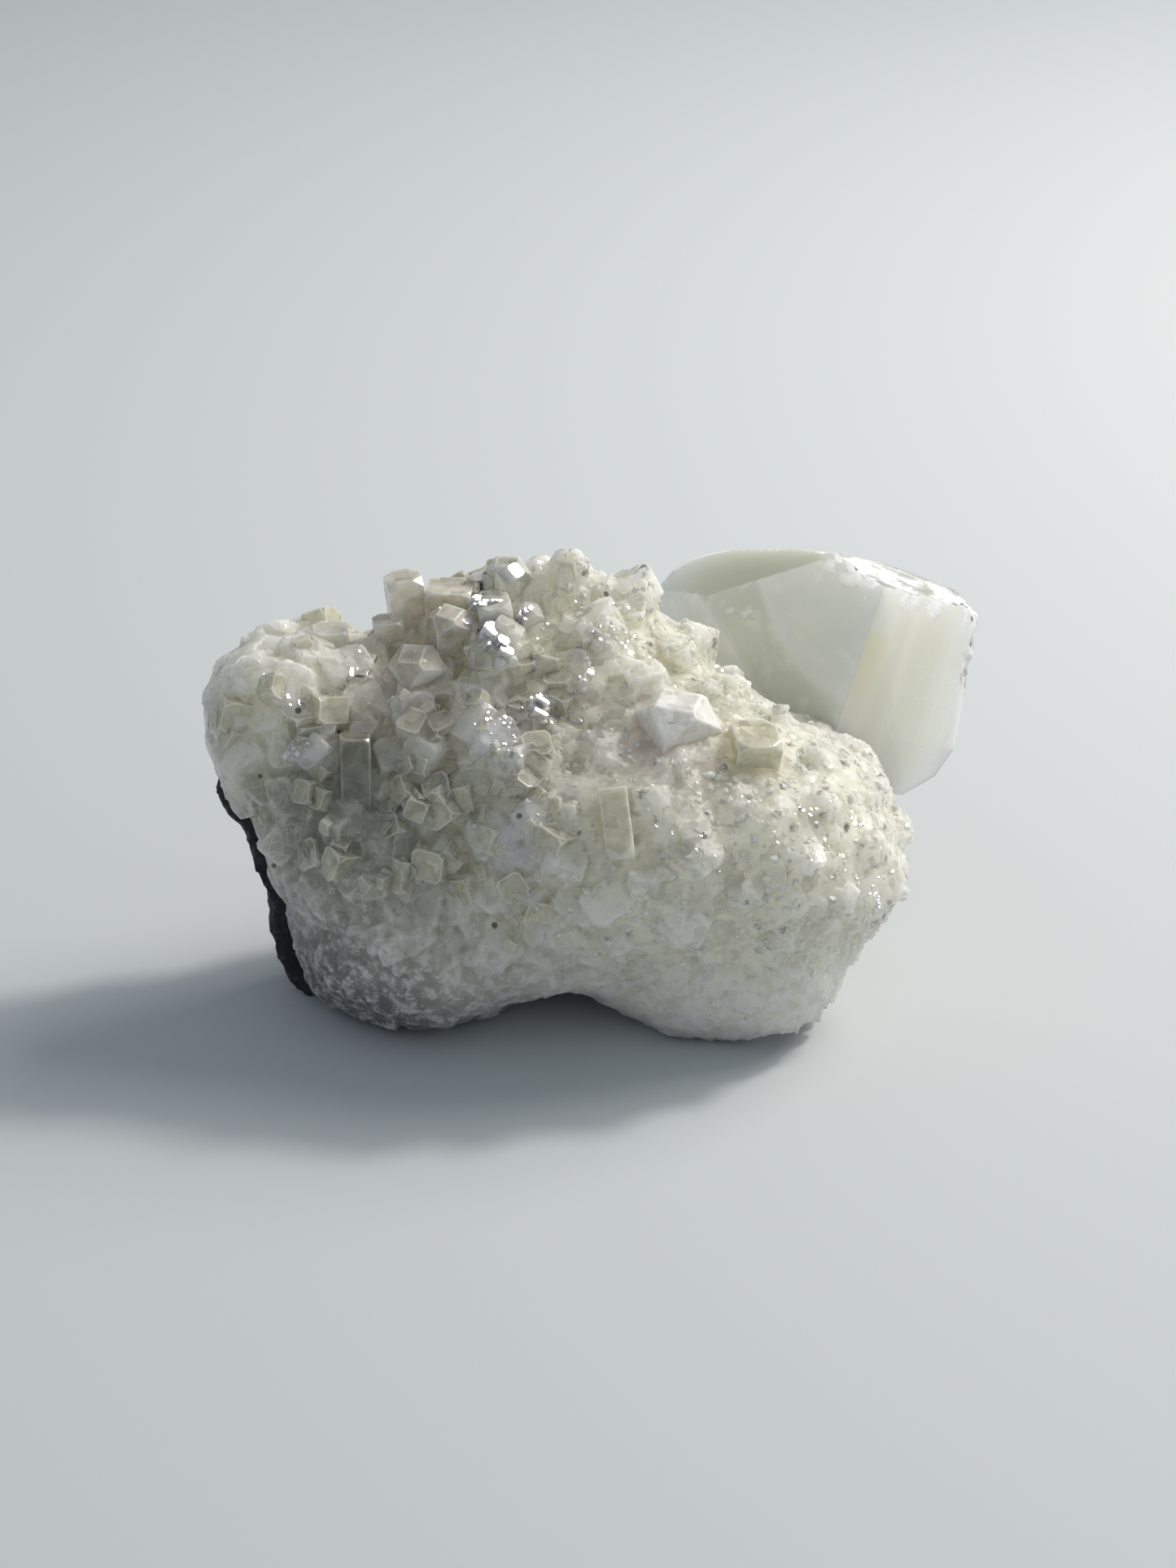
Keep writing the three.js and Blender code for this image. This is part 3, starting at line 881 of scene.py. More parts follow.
def crystal_pattern(habit: Habit) -> tuple[np.ndarray, list[tuple[int, ...]], np.ndarray]:
    """One crystal of a habit, one unit wide each way and one unit tall, standing on its own origin.

    Args:
        habit: How it has grown.

    Returns:
        Its vertices, its faces, and for each vertex 1 where it is on a rim.
    """
    bpy.ops.object.select_all(action="DESELECT")
    bpy.ops.mesh.primitive_cube_add(size=1, location=(0, 0, 0.5))
    block = bpy.context.object
    bpy.ops.object.transform_apply(location=True)
    bpy.ops.object.mode_set(mode="EDIT")
    cuts, slope = (FOUR_SIDES, PYRAMID_SLOPE) if habit is Habit.GRAIN else (FOUR_CORNERS, CORNER_SLOPE)
    for x, y in cuts:
        middle = (0.5 * x, 0.5 * y, CUT_HEIGHT)
        bpy.ops.mesh.select_all(action="SELECT")
        bpy.ops.mesh.bisect(plane_co=middle, plane_no=(x, y, slope), use_fill=True, clear_outer=True)
    bpy.ops.mesh.select_all(action="SELECT")
    bpy.ops.mesh.remove_doubles(threshold=1e-4)
    bpy.ops.mesh.normals_make_consistent(inside=False)
    rimmed = habit is Habit.RIMMED_BLOCK
    if rimmed:
        bpy.ops.mesh.inset(thickness=RIM_WIDTH, depth=-RIM_DEPTH, use_individual=True)
    bpy.ops.object.mode_set(mode="OBJECT")
    places = points_of(block)
    faces = [tuple(polygon.vertices) for polygon in block.data.polygons]
    rim = off_inset(block) if rimmed else np.zeros(len(places))
    bpy.data.objects.remove(block)
    return places, faces, rim


@dataclass
class CrystalHeap:
    """Many small crystals of one habit, joined in one mesh."""

    name: str
    habit: Habit

    def __post_init__(self) -> None:
        """Makes the one crystal that is copied, and starts with none placed."""
        self.places, self.faces, self.rim = crystal_pattern(self.habit)
        self.shapes: list[np.ndarray] = []
        self.tones: list[float] = []

    def add(self, foot: Vector, up: Vector, turn: float, size: Sequence[float], tone: float) -> None:
        """Adds one crystal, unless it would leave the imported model's box.

        Args:
            foot: Where it starts.
            up: The way that it points.
            turn: Its turn about that way.
            size: Its two widths and its height.
            tone: Its own number from 0 to 1, for the finish.
        """
        placed = (self.places * np.array(size)) @ np.array(standing(up, turn)).T + np.array(foot)
        if (placed >= PACKED_BOX[0] + TOLERANCE).all() and (placed <= PACKED_BOX[1] - TOLERANCE).all():
            self.shapes.append(placed)
            self.tones.append(tone)

    def join(self) -> bpy.types.Object:
        """The object with all crystals in one mesh."""
        step = len(self.places)
        faces = [tuple(step * k + i for i in face) for k in range(len(self.shapes)) for face in self.faces]
        mesh = bpy.data.meshes.new(self.name)
        mesh.from_pydata(np.concatenate(self.shapes).tolist(), [], faces)
        thing = bpy.data.objects.new(self.name, mesh)
        bpy.context.scene.collection.objects.link(thing)
        note_points(thing, "tone", np.repeat(self.tones, step))
        # The rims, for the finish's painted highlight.
        note_points(thing, "edge", np.tile(self.rim, len(self.shapes)))
        return thing


@dataclass(frozen=True)
class Crease:
    """A dark crevice in the crust, told by the photograph's pixels that it passes."""

    pixels: tuple[Pixel, ...]
    width: float
    depth: float


@dataclass(frozen=True)
class Tooth:
    """A broken grain that sticks out of the crust: the pixel it shows at, its width and how far back it is."""

    pixel: Pixel
    width: float
    depth: float


@dataclass
class Crust:
    """The body of the specimen: one crust of small crystals grown into one another."""

    detail: int = 7
    coarse: float = 0.5 * MM
    voxel: float = 0.26 * MM
    smoothing: float = 0.4
    crisp_over: float = 22
    drawn_in: float = 0.22 * MM
    pocket_rim: float = 0.5 * MM
    pocket_rounds: int = 400
    contact: float = 0.7 * MM
    rim_reach: float = 4.5 * MM
    rim_drop: float = 1.6 * MM
    spacing: float = 0.6
    lean: float = 0.18
    proud: float = 0.16
    astray: float = 0.12 * MM
    from_basalt: float = 1.1 * MM
    set_back: float = 0.45 * MM
    crease_step: float = 4
    grown_nodes: tuple[str, ...] = (
        "crest_crystals",
        "summit_crystals",
        "lobe_crystals",
        "notch_crystal",
        "left_crystal",
        "middle_crystal",
        "shoulder_crystal",
        "hanging_crystal",
    )
    creases: tuple[Crease, ...] = (
        Crease(
            ((635, 850), (680, 872), (720, 892), (780, 887), (850, 845), (900, 868), (960, 880), (1040, 885)),
            0.8 * MM,
            0.35 * MM,
        ),
        Crease(((400, 850), (420, 885), (425, 940), (455, 992)), 0.7 * MM, 0.35 * MM),
        Crease(((455, 992), (500, 975), (560, 985)), 0.6 * MM, 0.3 * MM),
    )
    teeth: tuple[Tooth, ...] = (
        Tooth((1000, 1240), 1.2 * MM, -8.2 * MM),
        Tooth((1010, 1232), 1.2 * MM, -6.6 * MM),
        Tooth((1020, 1220), 1.1 * MM, -7.6 * MM),
        Tooth((1020, 1206), 0.9 * MM, -6.0 * MM),
        Tooth((984, 1240), 1.1 * MM, -9.4 * MM),
        Tooth((1052, 1168), 0.8 * MM, -4.4 * MM),
    )
    flake: float = 1.1 * MM
    flake_depth: float = 0.16 * MM
    corner_lift: float = 1.3 * MM
    plain_tone: float = 0.4
    full_bend: float = 0.1 * MM
    seed: int = 4

    def wrap(self) -> bpy.types.Object:
        """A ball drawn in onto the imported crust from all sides."""
        packed = copy_of_node("crystal_crust", "packed_crust")
        bpy.ops.object.select_all(action="DESELECT")
        bpy.ops.mesh.primitive_ico_sphere_add(subdivisions=self.detail, radius=FARTHEST, location=HEART)
        ball = bpy.context.object
        ball.name = "crystal_crust_skin"
        bpy.ops.object.transform_apply(location=True, rotation=True, scale=True)
        inward = {"use_negative_direction": True, "use_positive_direction": False}
        apply_modifier(ball, "SHRINKWRAP", target=packed, wrap_method="PROJECT", **inward)
        bpy.data.objects.remove(packed)
        return ball

    def fill_pockets(self, ball: bpy.types.Object, grown: Sequence[BVHTree]) -> None:
        """Draws a smooth skin over the pockets in which the named crystals root.

        Args:
            ball: The wrapped ball.
            grown: The named crystals.
        """
        places = points_of(ball)
        heart = np.array(HEART)
        ways = places - heart
        radii = np.linalg.norm(ways, axis=1)
        ways /= radii[:, None]
        open_skin = np.array([distance_to(grown, place, self.pocket_rim) < self.pocket_rim for place in places])
        first, second = ends = edges_of(ball)
        number = np.bincount(ends.ravel(), minlength=len(radii))
        for _ in range(self.pocket_rounds):
            total = np.bincount(first, radii[second], len(radii)) + np.bincount(second, radii[first], len(radii))
            radii[open_skin] = (total / number)[open_skin]
        move_points(ball, heart + ways * radii[:, None])

    def meet_large_crystal(self, skin: bpy.types.Object) -> None:
        """Draws the skin beside the large crystal a hair's breadth into it, so that they touch.

        Args:
            skin: The crust's skin.
        """
        large = copy_of_node("large_crystal", "packed_large_crystal")
        tree = tree_of(large)
        bpy.data.objects.remove(large)
        places = points_of(skin)
        for i, place in enumerate(places):
            found, normal, _, _ = tree.find_nearest(place, self.contact)
            if found is not None and (Vector(place) - found).dot(normal) > 0:
                places[i] = found - normal * 0.08 * MM
        move_points(skin, places)

    def carve(self, skin: bpy.types.Object) -> None:
        """Sinks the crevices into the skin.

        Args:
            skin: The crust's skin.
        """
        trees = [tree_of(skin)]
        places, normals = points_of(skin), normals_of(skin)
        for crease in self.creases:
            line = []
            for (x0, y0), (x1, y1) in zip(crease.pixels, crease.pixels[1:]):
                steps = int(math.hypot(x1 - x0, y1 - y0) / self.crease_step) + 1
                for step in range(steps):
                    share = step / steps
                    found = VIEW.find(trees, (x0 + (x1 - x0) * share, y0 + (y1 - y0) * share))
                    if found:
                        line.append(found[0])
            path = KDTree(len(line))
            for i, place in enumerate(line):
                path.insert(place, i)
            path.balance()
            away = np.array([path.find(place)[2] for place in places]) / crease.width
            places -= normals * (crease.depth * np.clip(1 - away * away, 0, 1) ** 2)[:, None]
        move_points(skin, places)

    def block_size(self, place: Sequence[float]) -> float:
        """How wide the crust's blocks are at a place: broad at the left, fine at the right, small below.

        Args:
            place: A place on the crust.

        Returns:
            The width.
        """
        x, _, z = np.array(place) / MM
        return float(MM * (2.3 - 1.15 * between(x, 0, 10) - 0.9 * (1 - between(z, 6, 12))))

    def spaced(self, places: np.ndarray, sizes: np.ndarray, order: np.ndarray) -> list[int]:
        """Picks vertices that lie about a block's width apart.

        Args:
            places: The skin's vertices.
            sizes: The block width at each.
            order: The order in which they are tried.

        Returns:
            The numbers of the picked vertices.
        """
        taken: dict[tuple[int, ...], list[int]] = {}
        cell = float(sizes.max()) * self.spacing
        steps = list(product((-1, 0, 1), repeat=3))
        picked = []
        for i in order:
            home = tuple(int(v) for v in places[i] // cell)
            crowd = [j for step in steps for j in taken.get(tuple(h + s for h, s in zip(home, step)), ())]
            if crowd and np.linalg.norm(places[crowd] - places[i], axis=1).min() < self.spacing * sizes[i]:
                continue
            picked.append(i)
            taken.setdefault(home, []).append(i)
        return picked

    def lower_rim(self, skin: bpy.types.Object, large: BVHTree) -> None:
        """Lowers the skin in front of the large crystal along the crystal's own axis.

        Args:
            skin: The crust's skin.
            large: The large crystal.
        """
        places = points_of(skin)
        near = np.array([1 - distance_to([large], place, self.rim_reach) / self.rim_reach for place in places])
        across = between(places[:, 0], 4.5 * MM, 7.5 * MM) * (1 - between(places[:, 0], 10 * MM, 14 * MM))
        drop = between(near, 0.0, 0.7) * across * self.rim_drop
        move_points(skin, places - np.outer(drop, np.array(LARGE_AXIS)))

    def add_teeth(self, heap: CrystalHeap) -> None:
        """Adds the broken grains that stick out at the lower right corner.

        Args:
            heap: The crystals that go into the skin.
        """
        chance = np.random.default_rng(self.seed)
        for tooth in self.teeth:
            ray = VIEW.ray(tooth.pixel)
            middle = VIEW.eye + ray * ((tooth.depth - VIEW.eye.y) / ray.y)
            up = Vector((1, chance.uniform(-0.5, 0.1), chance.uniform(-0.3, 0.1))).normalized()
            size = (tooth.width, tooth.width * chance.uniform(1.0, 1.6), tooth.width * 2.4)
            heap.add(middle - up * size[2] * 0.85, up, chance.uniform(0, math.pi / 2), size, chance.random())

    def weather(self, skin: bpy.types.Object) -> None:
        """Roughens the powdery lower part, and lifts the foot's broken right corner off the ground.

        Args:
            skin: The crust's skin.
        """
        places, normals = points_of(skin), normals_of(skin)
        rough = uneven(places, self.flake, 3)
        low = 1 - between(places[:, 2], 6 * MM, 12 * MM)
        places += normals * (rough * low * self.flake_depth)[:, None]
        corner = between(places[:, 0], 8.8 * MM, 10.6 * MM)
        foot = corner * (self.corner_lift + rough * 0.3 * MM)
        places[:, 2] = np.maximum(places[:, 2], foot)
        move_points(skin, places)

    def calm(self, place: Sequence[float]) -> float:
        """How much the crust's blocks stand out at a place.

        Args:
            place: A place on the crust.

        Returns:
            From 0.3 at its smooth right and on the lobe to 1 in its blocky middle.
        """
        x, _, z = np.array(place) / MM
        smooth = max(float(between(x, -3, 5)), float((1 - between(x, -20, -16)) * between(z, 15, 18)))
        return 1 - 0.7 * smooth

    def grow_blocks(
        self, skin: bpy.types.Object, grown: Sequence[BVHTree], large: BVHTree, rock: BVHTree
    ) -> CrystalHeap:
        """Covers the skin with intergrown crystals, sunk so far that little more than their faces shows.

        Args:
            skin: The crust's skin.
            grown: The named crystals, which they keep clear of.
            large: The large crystal, which they leave bare.
            rock: The basalt, which they leave bare.

        Returns:
            The crystals.
        """
        chance = np.random.default_rng(self.seed)
        places, normals = points_of(skin), normals_of(skin)
        sizes = np.array([self.block_size(place) for place in places])
        heap = CrystalHeap("intergrown_blocks", Habit.BLOCK)
        for i in self.spaced(places, sizes, chance.permutation(len(places))):
            size = sizes[i] * chance.uniform(0.75, 1.35)
            place = Vector(places[i]) + Vector(chance.normal(0, self.astray, 3))
            crest = float((1 - between(place.x, -7 * MM, -4 * MM)) * between(place.z, 18 * MM, 20 * MM))
            clear_of = (0.45 - 0.4 * crest) * size
            if distance_to(grown, place, size) < clear_of or distance_to([large], place, size) < 0.9 * size:
                continue
            if distance_to([rock], place, self.from_basalt) < self.from_basalt:
                continue
            calm = self.calm(place)
            worn = float(between(place.z, 4 * MM, 11 * MM))
            lean = self.lean * (0.35 + 0.65 * worn) * calm
            up = (Vector(normals[i]) + Vector(chance.normal(0, lean, 3))).normalized()
            proud = size * (chance.uniform(0, self.proud) * (0.1 + 0.9 * worn) * calm + 0.4 * crest * chance.random())
            widths = (size, size * chance.uniform(0.7, 1.0), size * 1.1)
            heap.add(place + up * (proud - widths[2]), up, chance.uniform(0, math.pi / 2), widths, chance.random())
        log.info("intergrown blocks: %d", len(heap.shapes))
        return heap

    def bare_rock(self, skin: bpy.types.Object, rock: BVHTree) -> None:
        """Draws the skin in beside the basalt, so that the rock stands proud, and flattens its foot.

        Args:
            skin: The crust's skin.
            rock: The basalt.
        """
        places, normals = points_of(skin), normals_of(skin)
        reach = self.from_basalt
        near = np.array([1 - distance_to([rock], place, reach) / reach for place in places])
        places -= normals * (near * self.set_back)[:, None]
        places[:, 2] = np.maximum(places[:, 2], 0)
        move_points(skin, places)

    def note_blocks(self, skin: bpy.types.Object, blocks: bpy.types.Object, tones: Sequence[float]) -> None:
        """Notes each block's tone on the skin, and its ridges and crevices, which the finish paints lighter and
        darker as highlight and shade.

        Args:
            skin: The crust's skin.
            blocks: The crystals that went into it.
            tones: One number for each crystal.
        """
        tree = tree_of(blocks)
        faces_each = len(blocks.data.polygons) // len(tones)
        places, normals = points_of(skin), normals_of(skin)
        tone = np.full(len(places), self.plain_tone)
        for i, place in enumerate(places):
            found = tree.find_nearest(place, self.voxel)
            if found[0] is not None:
                tone[i] = tones[found[2] // faces_each]
        first, second = ends = edges_of(skin)
        number = np.bincount(ends.ravel(), minlength=len(places))[:, None]
        bend = places
        for _ in range(2):
            total = np.zeros_like(places)
            np.add.at(total, first, bend[second])
            np.add.at(total, second, bend[first])
            bend = total / number
        note_points(skin, "tone", tone)
        # The skin's bend: above 0 on ridges, below 0 in crevices, for painted highlight and shade.
        note_points(skin, "edge", np.clip(((places - bend) * normals).sum(1) / self.full_bend, -1, 1))

    def build(self, finish: CrustFinish) -> bpy.types.Object:
        """Makes the crust's skin.

        Args:
            finish: How it looks.

        Returns:
            The finished piece.
        """
        grown = [tree_of(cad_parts[node]) for node in self.grown_nodes]
        large, rock = (tree_of(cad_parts[node]) for node in ("large_crystal", "basalt_matrix"))
        skin = self.wrap()
        self.fill_pockets(skin, grown)
        remesh(skin, self.coarse, self.smoothing, 2)
        move_points(skin, points_of(skin) - normals_of(skin) * self.drawn_in)
        self.lower_rim(skin, large)
        heap = self.grow_blocks(skin, grown, large, rock)
        self.add_teeth(heap)
        blocks = heap.join()
        fused = blocks.copy()
        fused.data = blocks.data.copy()
        bpy.context.scene.collection.objects.link(fused)
        take_up(skin)
        fused.select_set(True)
        bpy.ops.object.join()
        remesh(skin, self.voxel, self.smoothing, 1)
        self.carve(skin)
        self.meet_large_crystal(skin)
        self.bare_rock(skin, rock)
        self.weather(skin)
        self.note_blocks(skin, blocks, heap.tones)
        bpy.data.objects.remove(blocks)
        shade(skin, self.crisp_over)
        return finish_piece(skin, Slot.CRUST, finish.make(), ["crystal_crust"])


@dataclass
class SmallCrystals:
    """Small crystals of one habit, scattered over the crust."""

    name: str
    habit: Habit
    slot: Slot
    count: int
    sizes: tuple[float, float]
    sink: float
    share_at: Callable[[Vector, Vector], float]
    seed: int
    rises: tuple[float, float] = (1.0, 1.4)
    lean: float = 0.35
    outward: float = 1.5
    tries: int = 14
    hidden_within: float = 6 * MM

    def build(
        self, skin: bpy.types.Object, neighbours: Sequence[BVHTree], rock: BVHTree, material: bpy.types.Material
    ) -> bpy.types.Object:
        """Scatters the crystals over the crust's skin, but not on its inner face, against the rock.

        Args:
            skin: The crust's skin.
            neighbours: Surfaces that they keep clear of.
            rock: The basalt.
            material: Their finish.

        Returns:
            The finished piece.
        """
        chance = np.random.default_rng(self.seed)
        heap = CrystalHeap(self.name, self.habit)
        areas = np.empty(len(skin.data.polygons))
        skin.data.polygons.foreach_get("area", areas)
        hidden = 0
        for face in chance.choice(len(areas), size=self.count * self.tries, p=areas / areas.sum()):
            if len(heap.shapes) + hidden >= self.count:
                break
            polygon = skin.data.polygons[face]
            at, normal = polygon.center.copy(), polygon.normal.copy()
            if chance.random() > self.share_at(at / MM, normal):
                continue
            size = self.sizes[0] + (self.sizes[1] - self.sizes[0]) * chance.random() ** 2
            if distance_to(neighbours, at, size) < size * 0.9:
                continue
            rise = size * chance.uniform(*self.rises)
            out = (at - HEART).normalized()
            up = (normal + out * self.outward + Vector(chance.normal(0, self.lean, 3))).normalized()
            widths = (size, size * chance.uniform(0.75, 1.1), rise)
            turn, tone = chance.uniform(0, math.pi / 2), chance.random()
            if rock.ray_cast(at, normal, self.hidden_within)[0] is not None:
                hidden += 1
                continue
            heap.add(at - up * rise * self.sink, up, turn, widths, tone)
        return finish_piece(heap.join(), self.slot, material)


@dataclass(frozen=True)
class Glint:
    """Facets that stand just so that they throw the key light at the camera.

    They lie about a pixel of the photograph, over a spread in pixels, and stand a little off the surface.
    """

    pixel: Pixel
    spread: Pixel
    number: int
    size: tuple[float, float]
    slant: float | None = None
    aspect: tuple[float, float] = (0.6, 1.2)
    lift: float = 0.04 * MM


@dataclass
class BrightFacets:
    """The small faces that flash in the photograph, on the crystals that carry them."""

    name: str = "bright_facets"
    stray: float = 0.02
    thickness: float = 0.7 * MM
    seed: int = 21
    glints: tuple[Glint, ...] = (
        Glint((631, 704), (0, 0), 1, (1.0 * MM, 1.05 * MM), 45, (0.9, 1.0), 0.25 * MM),
        Glint((607, 780), (22, 28), 12, (0.5 * MM, 0.95 * MM)),
        Glint((596, 742), (26, 12), 12, (0.3 * MM, 0.9 * MM), 25, (0.15, 0.3), 0.06 * MM),
        Glint((648, 762), (8, 26), 6, (0.2 * MM, 0.5 * MM)),
        Glint((592, 872), (44, 24), 26, (0.1 * MM, 0.24 * MM), lift=0.02 * MM),
        Glint((626, 912), (26, 44), 24, (0.1 * MM, 0.24 * MM), lift=0.02 * MM),
        Glint((660, 866), (22, 12), 12, (0.4 * MM, 1.0 * MM), -35, (0.2, 0.4), 0.06 * MM),
        Glint((686, 880), (22, 8), 10, (0.3 * MM, 0.8 * MM), -35, (0.2, 0.35), 0.05 * MM),
        Glint((708, 888), (10, 3), 4, (0.2 * MM, 0.5 * MM), -15, (0.2, 0.4), 0.1 * MM),
        Glint((882, 836), (8, 16), 3, (0.2 * MM, 0.3 * MM)),
        Glint((368, 858), (16, 12), 7, (0.15 * MM, 0.4 * MM)),
        Glint((360, 918), (20, 12), 7, (0.12 * MM, 0.35 * MM)),
        Glint((324, 832), (5, 4), 2, (0.2 * MM, 0.4 * MM)),
        Glint((432, 826), (2, 4), 1, (0.5 * MM, 0.8 * MM), 60, (0.4, 0.6)),
        Glint((1000, 998), (16, 6), 7, (0.12 * MM, 0.28 * MM)),
        Glint((1052, 1005), (18, 14), 6, (0.1 * MM, 0.26 * MM)),
        Glint((1075, 1110), (20, 45), 12, (0.08 * MM, 0.18 * MM)),
        Glint((1000, 1050), (90, 90), 18, (0.08 * MM, 0.16 * MM)),
        Glint((860, 1040), (110, 90), 26, (0.08 * MM, 0.18 * MM)),
        Glint((760, 780), (110, 60), 30, (0.08 * MM, 0.2 * MM)),
        Glint((500, 800), (110, 70), 18, (0.08 * MM, 0.2 * MM)),
        Glint((520, 975), (130, 60), 14, (0.08 * MM, 0.18 * MM)),
        Glint((540, 1085), (50, 6), 7, (0.08 * MM, 0.18 * MM)),
        Glint((600, 1000), (60, 60), 14, (0.08 * MM, 0.18 * MM)),
    )

    def turned(self, up: Vector, slant: float) -> float:
        """The turn that lays a facet's length along a slant of the photograph.

        Args:
            up: The way that the facet faces.
            slant: The slant in degrees, rising to the right.

        Returns:
            The turn in radians.
        """
        way = Vector((math.cos(math.radians(slant)), 0, math.sin(math.radians(slant))))
        local = standing(up, 0).transposed() @ way
        return math.atan2(local.y, local.x)

    def build(self, trees: Sequence[BVHTree], material: bpy.types.Material) -> bpy.types.Object:
        """Sets the facets.

        Args:
            trees: The surfaces that may carry them.
            material: Their finish.

        Returns:
            The finished piece.
        """
        chance = np.random.default_rng(self.seed)
        heap = CrystalHeap(self.name, Habit.BLOCK)
        for glint in self.glints:
            for _ in range(glint.number):
                swerve = chance.normal(0, 0.5, 2) if glint.number > 1 else (0, 0)
                pixel = tuple(p + s * r for p, s, r in zip(glint.pixel, swerve, glint.spread))
                found = VIEW.find(trees, pixel)
                if found is None:
                    continue
                place, normal = found
                to_eye = (VIEW.eye - place).normalized()
                to_key = (VIEW.target + KEY_FROM * KEY_DISTANCE - place).normalized()
                up = (to_eye + to_key).normalized() + Vector(chance.normal(0, self.stray, 3))
                width = chance.uniform(*glint.size)
                turn = chance.uniform(0, math.pi / 2) if glint.slant is None else self.turned(up, glint.slant)
                size = (width, width * chance.uniform(*glint.aspect), self.thickness)
                lift = glint.lift + 0.25 * width * (1 - max(0.0, normal.dot(up.normalized())))
                heap.add(place - up * (self.thickness - lift), up, turn, size, chance.random())
        return finish_piece(heap.join(), Slot.CLEAR, material)


@dataclass
class GrownCrystals:
    """Named crystals, big enough to be solids of their own."""

    node: str
    slot: Slot
    bevel: float = 0.07 * MM
    bevelled_over: float = math.radians(20)
    crisp_over: float = 30
    farthest: float = 0.12 * MM
    broad_face: float = 1.1 * MM * MM
    edge_width: float = 0.14 * MM
    step: float = 0.02 * MM

    def build(self, material: bpy.types.Material) -> bpy.types.Object:
        """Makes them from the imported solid, with growth steps and the fine bevel that real edges have.

        Args:
            material: Their finish.

        Returns:
            The finished piece.
        """
        thing = copy_of_node(self.node, self.node + "_grown")
        packed = tree_of(thing)
        limit = {"limit_method": "ANGLE", "angle_limit": self.bevelled_over}
        apply_modifier(thing, "BEVEL", width=self.bevel, segments=2, **limit)
        self.step_faces(thing)
        places = points_of(thing)
        for i, place in enumerate(places):
            found, _, _, away = packed.find_nearest(place)
            if away > self.farthest:
                places[i] = found
        move_points(thing, places)
        shade(thing, self.crisp_over)
        return finish_piece(thing, self.slot, material, [self.node])

    def step_faces(self, thing: bpy.types.Object) -> None:
        """Sinks the broader faces a little within their edges, and notes where the edges are, for the finish's
        painted highlight.

        Args:
            thing: The crystals.
        """
        take_up(thing)
        for polygon in thing.data.polygons:
            polygon.select = polygon.area > self.broad_face and polygon.normal.z > -0.3
        bpy.ops.object.mode_set(mode="EDIT")
        bpy.ops.mesh.select_mode(type="FACE")
        bpy.ops.mesh.inset(thickness=self.edge_width, depth=-self.step, use_individual=True)
        bpy.ops.object.mode_set(mode="OBJECT")
        note_points(thing, "edge", off_inset(thing))


